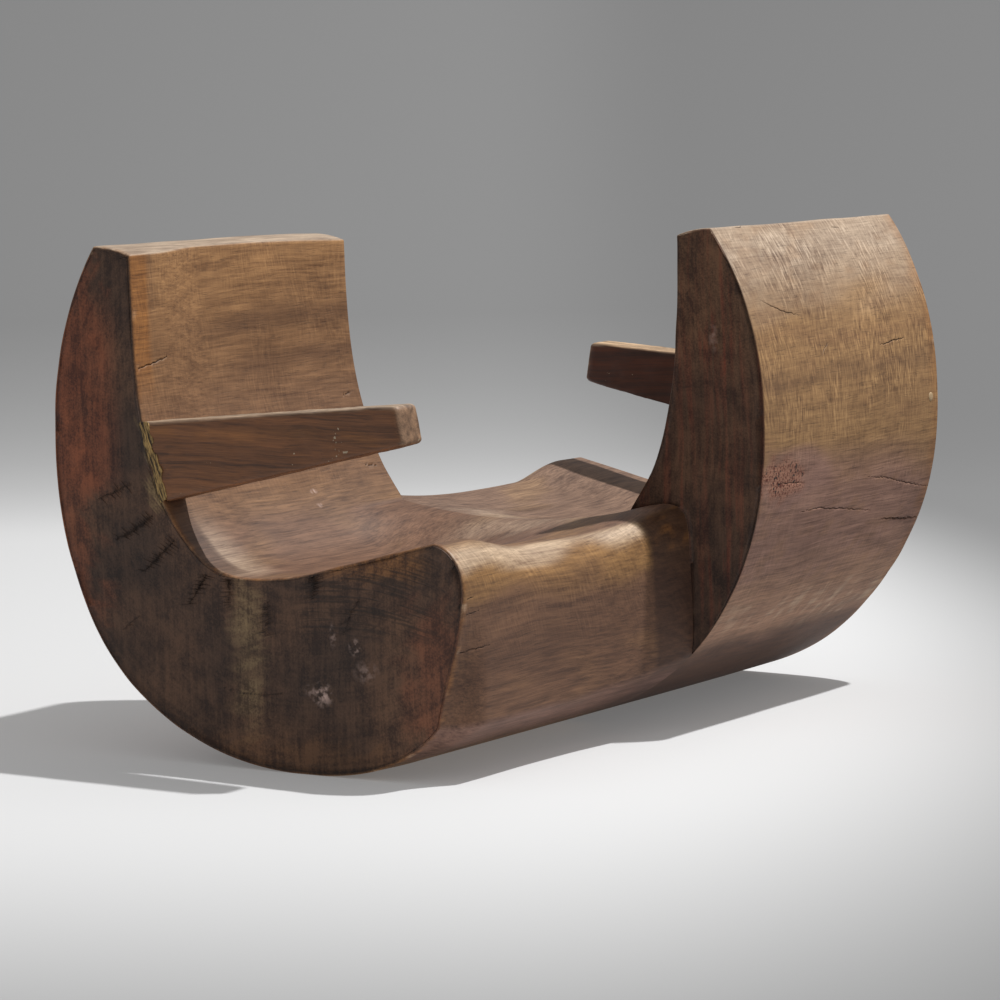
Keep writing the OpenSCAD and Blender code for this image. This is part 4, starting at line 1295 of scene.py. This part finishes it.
def add_camera(scene):
    """The photograph's camera. Gives the flat ways to its right and away from it."""
    level = math.cos(CAMERA_ELEVATION)
    back = Vector((math.sin(CAMERA_AZIMUTH) * level, -math.cos(CAMERA_AZIMUTH) * level,
                   math.sin(CAMERA_ELEVATION)))
    eye = Vector(CAMERA_TARGET) * CAMERA_UNIT + back * CAMERA_DISTANCE * CAMERA_UNIT
    across = (-back).cross(Vector((0, 0, 1))).normalized()
    up = across.cross(-back)
    turned_across = math.cos(CAMERA_ROLL) * across + math.sin(CAMERA_ROLL) * up
    turned_up = -math.sin(CAMERA_ROLL) * across + math.cos(CAMERA_ROLL) * up
    data = bpy.data.cameras.new("camera")
    data.sensor_width = SENSOR_W
    data.lens = CAMERA_LENS
    data.clip_end = CAMERA_SEES_TO
    camera = bpy.data.objects.new("camera", data)
    turn = Matrix((turned_across, turned_up, back)).transposed()
    camera.matrix_world = Matrix.Translation(eye) @ turn.to_4x4()
    scene.collection.objects.link(camera)
    scene.camera = camera
    return Vector((across.x, across.y, 0)).normalized(), Vector((-back.x, -back.y, 0)).normalized()


def add_light(scene):
    """The key lamp, and an even white light from all round."""
    stage = scene.chair_stage
    data = bpy.data.lights.new("key_lamp", "POINT")
    data.energy = stage.lamp_power
    data.shadow_soft_size = stage.lamp_size
    lamp = bpy.data.objects.new("key_lamp", data)
    lamp.location = LAMP_PLACE
    scene.collection.objects.link(lamp)
    world = bpy.data.worlds.new("studio_air")
    world.use_nodes = True
    air = world.node_tree.nodes["Background"]
    air.inputs["Color"].default_value = (1, 1, 1, 1)
    air.inputs["Strength"].default_value = stage.fill
    scene.world = world


def add_sheet(right, behind):
    """A floor that turns up into a wall behind: a profile in metres, carried along the camera's right."""
    bend = np.linspace(0.05, 1, BEND_N) * math.pi / 2
    run = np.concatenate([np.linspace(SHEET_FRONT, SHEET_BEND, FLOOR_N), SHEET_BEND + BEND_R * np.sin(bend),
                          np.full(WALL_N, SHEET_BEND + BEND_R)])
    rise = np.concatenate([np.zeros(FLOOR_N), BEND_R * (1 - np.cos(bend)),
                           np.linspace(BEND_R + BEND_STEP, SHEET_TOP, WALL_N)])
    wide = np.linspace(-SHEET_HALF_W, SHEET_HALF_W, SHEET_N)
    points = (np.array(behind) * run[:, None, None] + np.array(right) * wide[:, None]
              + np.array([0, 0, 1.0]) * rise[:, None, None])
    mesh = bpy.data.meshes.new("studio_floor")
    mesh.from_pydata(points.reshape(-1, 3).tolist(), [], grid_triangles(len(run), SHEET_N).tolist())
    mesh.polygons.foreach_set("use_smooth", np.ones(len(mesh.polygons), dtype=bool))
    mesh.materials.append(studio_paint())
    sheet = bpy.data.objects.new("studio_floor", mesh)
    bpy.context.scene.collection.objects.link(sheet)


class OBJECT_OT_chair_stage(bpy.types.Operator):
    """Makes the floor, the backdrop, the light and the camera"""

    bl_idname = "object.rocking_chair_stage"
    bl_label = "Stage"

    def execute(self, context):
        right, behind = add_camera(context.scene)
        add_light(context.scene)
        add_sheet(right, behind)
        context.scene.view_settings.view_transform = "Standard"
        return {"FINISHED"}


class VIEW3D_PT_rocking_chair(bpy.types.Panel):
    """Lists the chair's settings and the operators that make it"""

    bl_idname = "VIEW3D_PT_rocking_chair"
    bl_label = "Rocking chair"
    bl_space_type = "VIEW_3D"
    bl_region_type = "UI"
    bl_category = "Rocking chair"

    def draw(self, context):
        for group in (context.scene.chair_carving, context.scene.chair_colours, context.scene.chair_stage):
            for key in group.bl_rna.properties.keys():
                if key not in {"rna_type", "name"}:
                    self.layout.prop(group, key)
        for operator in OPERATORS:
            self.layout.operator(operator.bl_idname)


OPERATORS = (OBJECT_OT_carved_log, OBJECT_OT_chair_arms, OBJECT_OT_chair_pegs, OBJECT_OT_joint_putty,
             OBJECT_OT_chair_stage)
GROUPS = {"chair_carving": ChairCarving, "chair_colours": ChairColours, "chair_stage": ChairStage}


def register():
    """Adds the classes, and the settings to the scene."""
    for cls in (*GROUPS.values(), *OPERATORS, VIEW3D_PT_rocking_chair):
        bpy.utils.register_class(cls)
    for key, group in GROUPS.items():
        setattr(bpy.types.Scene, key, PointerProperty(type=group))


def unregister():
    """Takes the settings and the classes away again."""
    for key in GROUPS:
        delattr(bpy.types.Scene, key)
    for cls in (VIEW3D_PT_rocking_chair, *reversed(OPERATORS), *reversed(list(GROUPS.values()))):
        bpy.utils.unregister_class(cls)


def main():
    """Makes the whole chair and its stage."""
    register()
    bpy.ops.object.rocking_chair_stage()
    bpy.ops.object.rocking_chair_log()
    bpy.ops.object.rocking_chair_arms()
    bpy.ops.object.rocking_chair_pegs()
    bpy.ops.object.rocking_chair_putty()


if __name__ == "__main__":
    main()
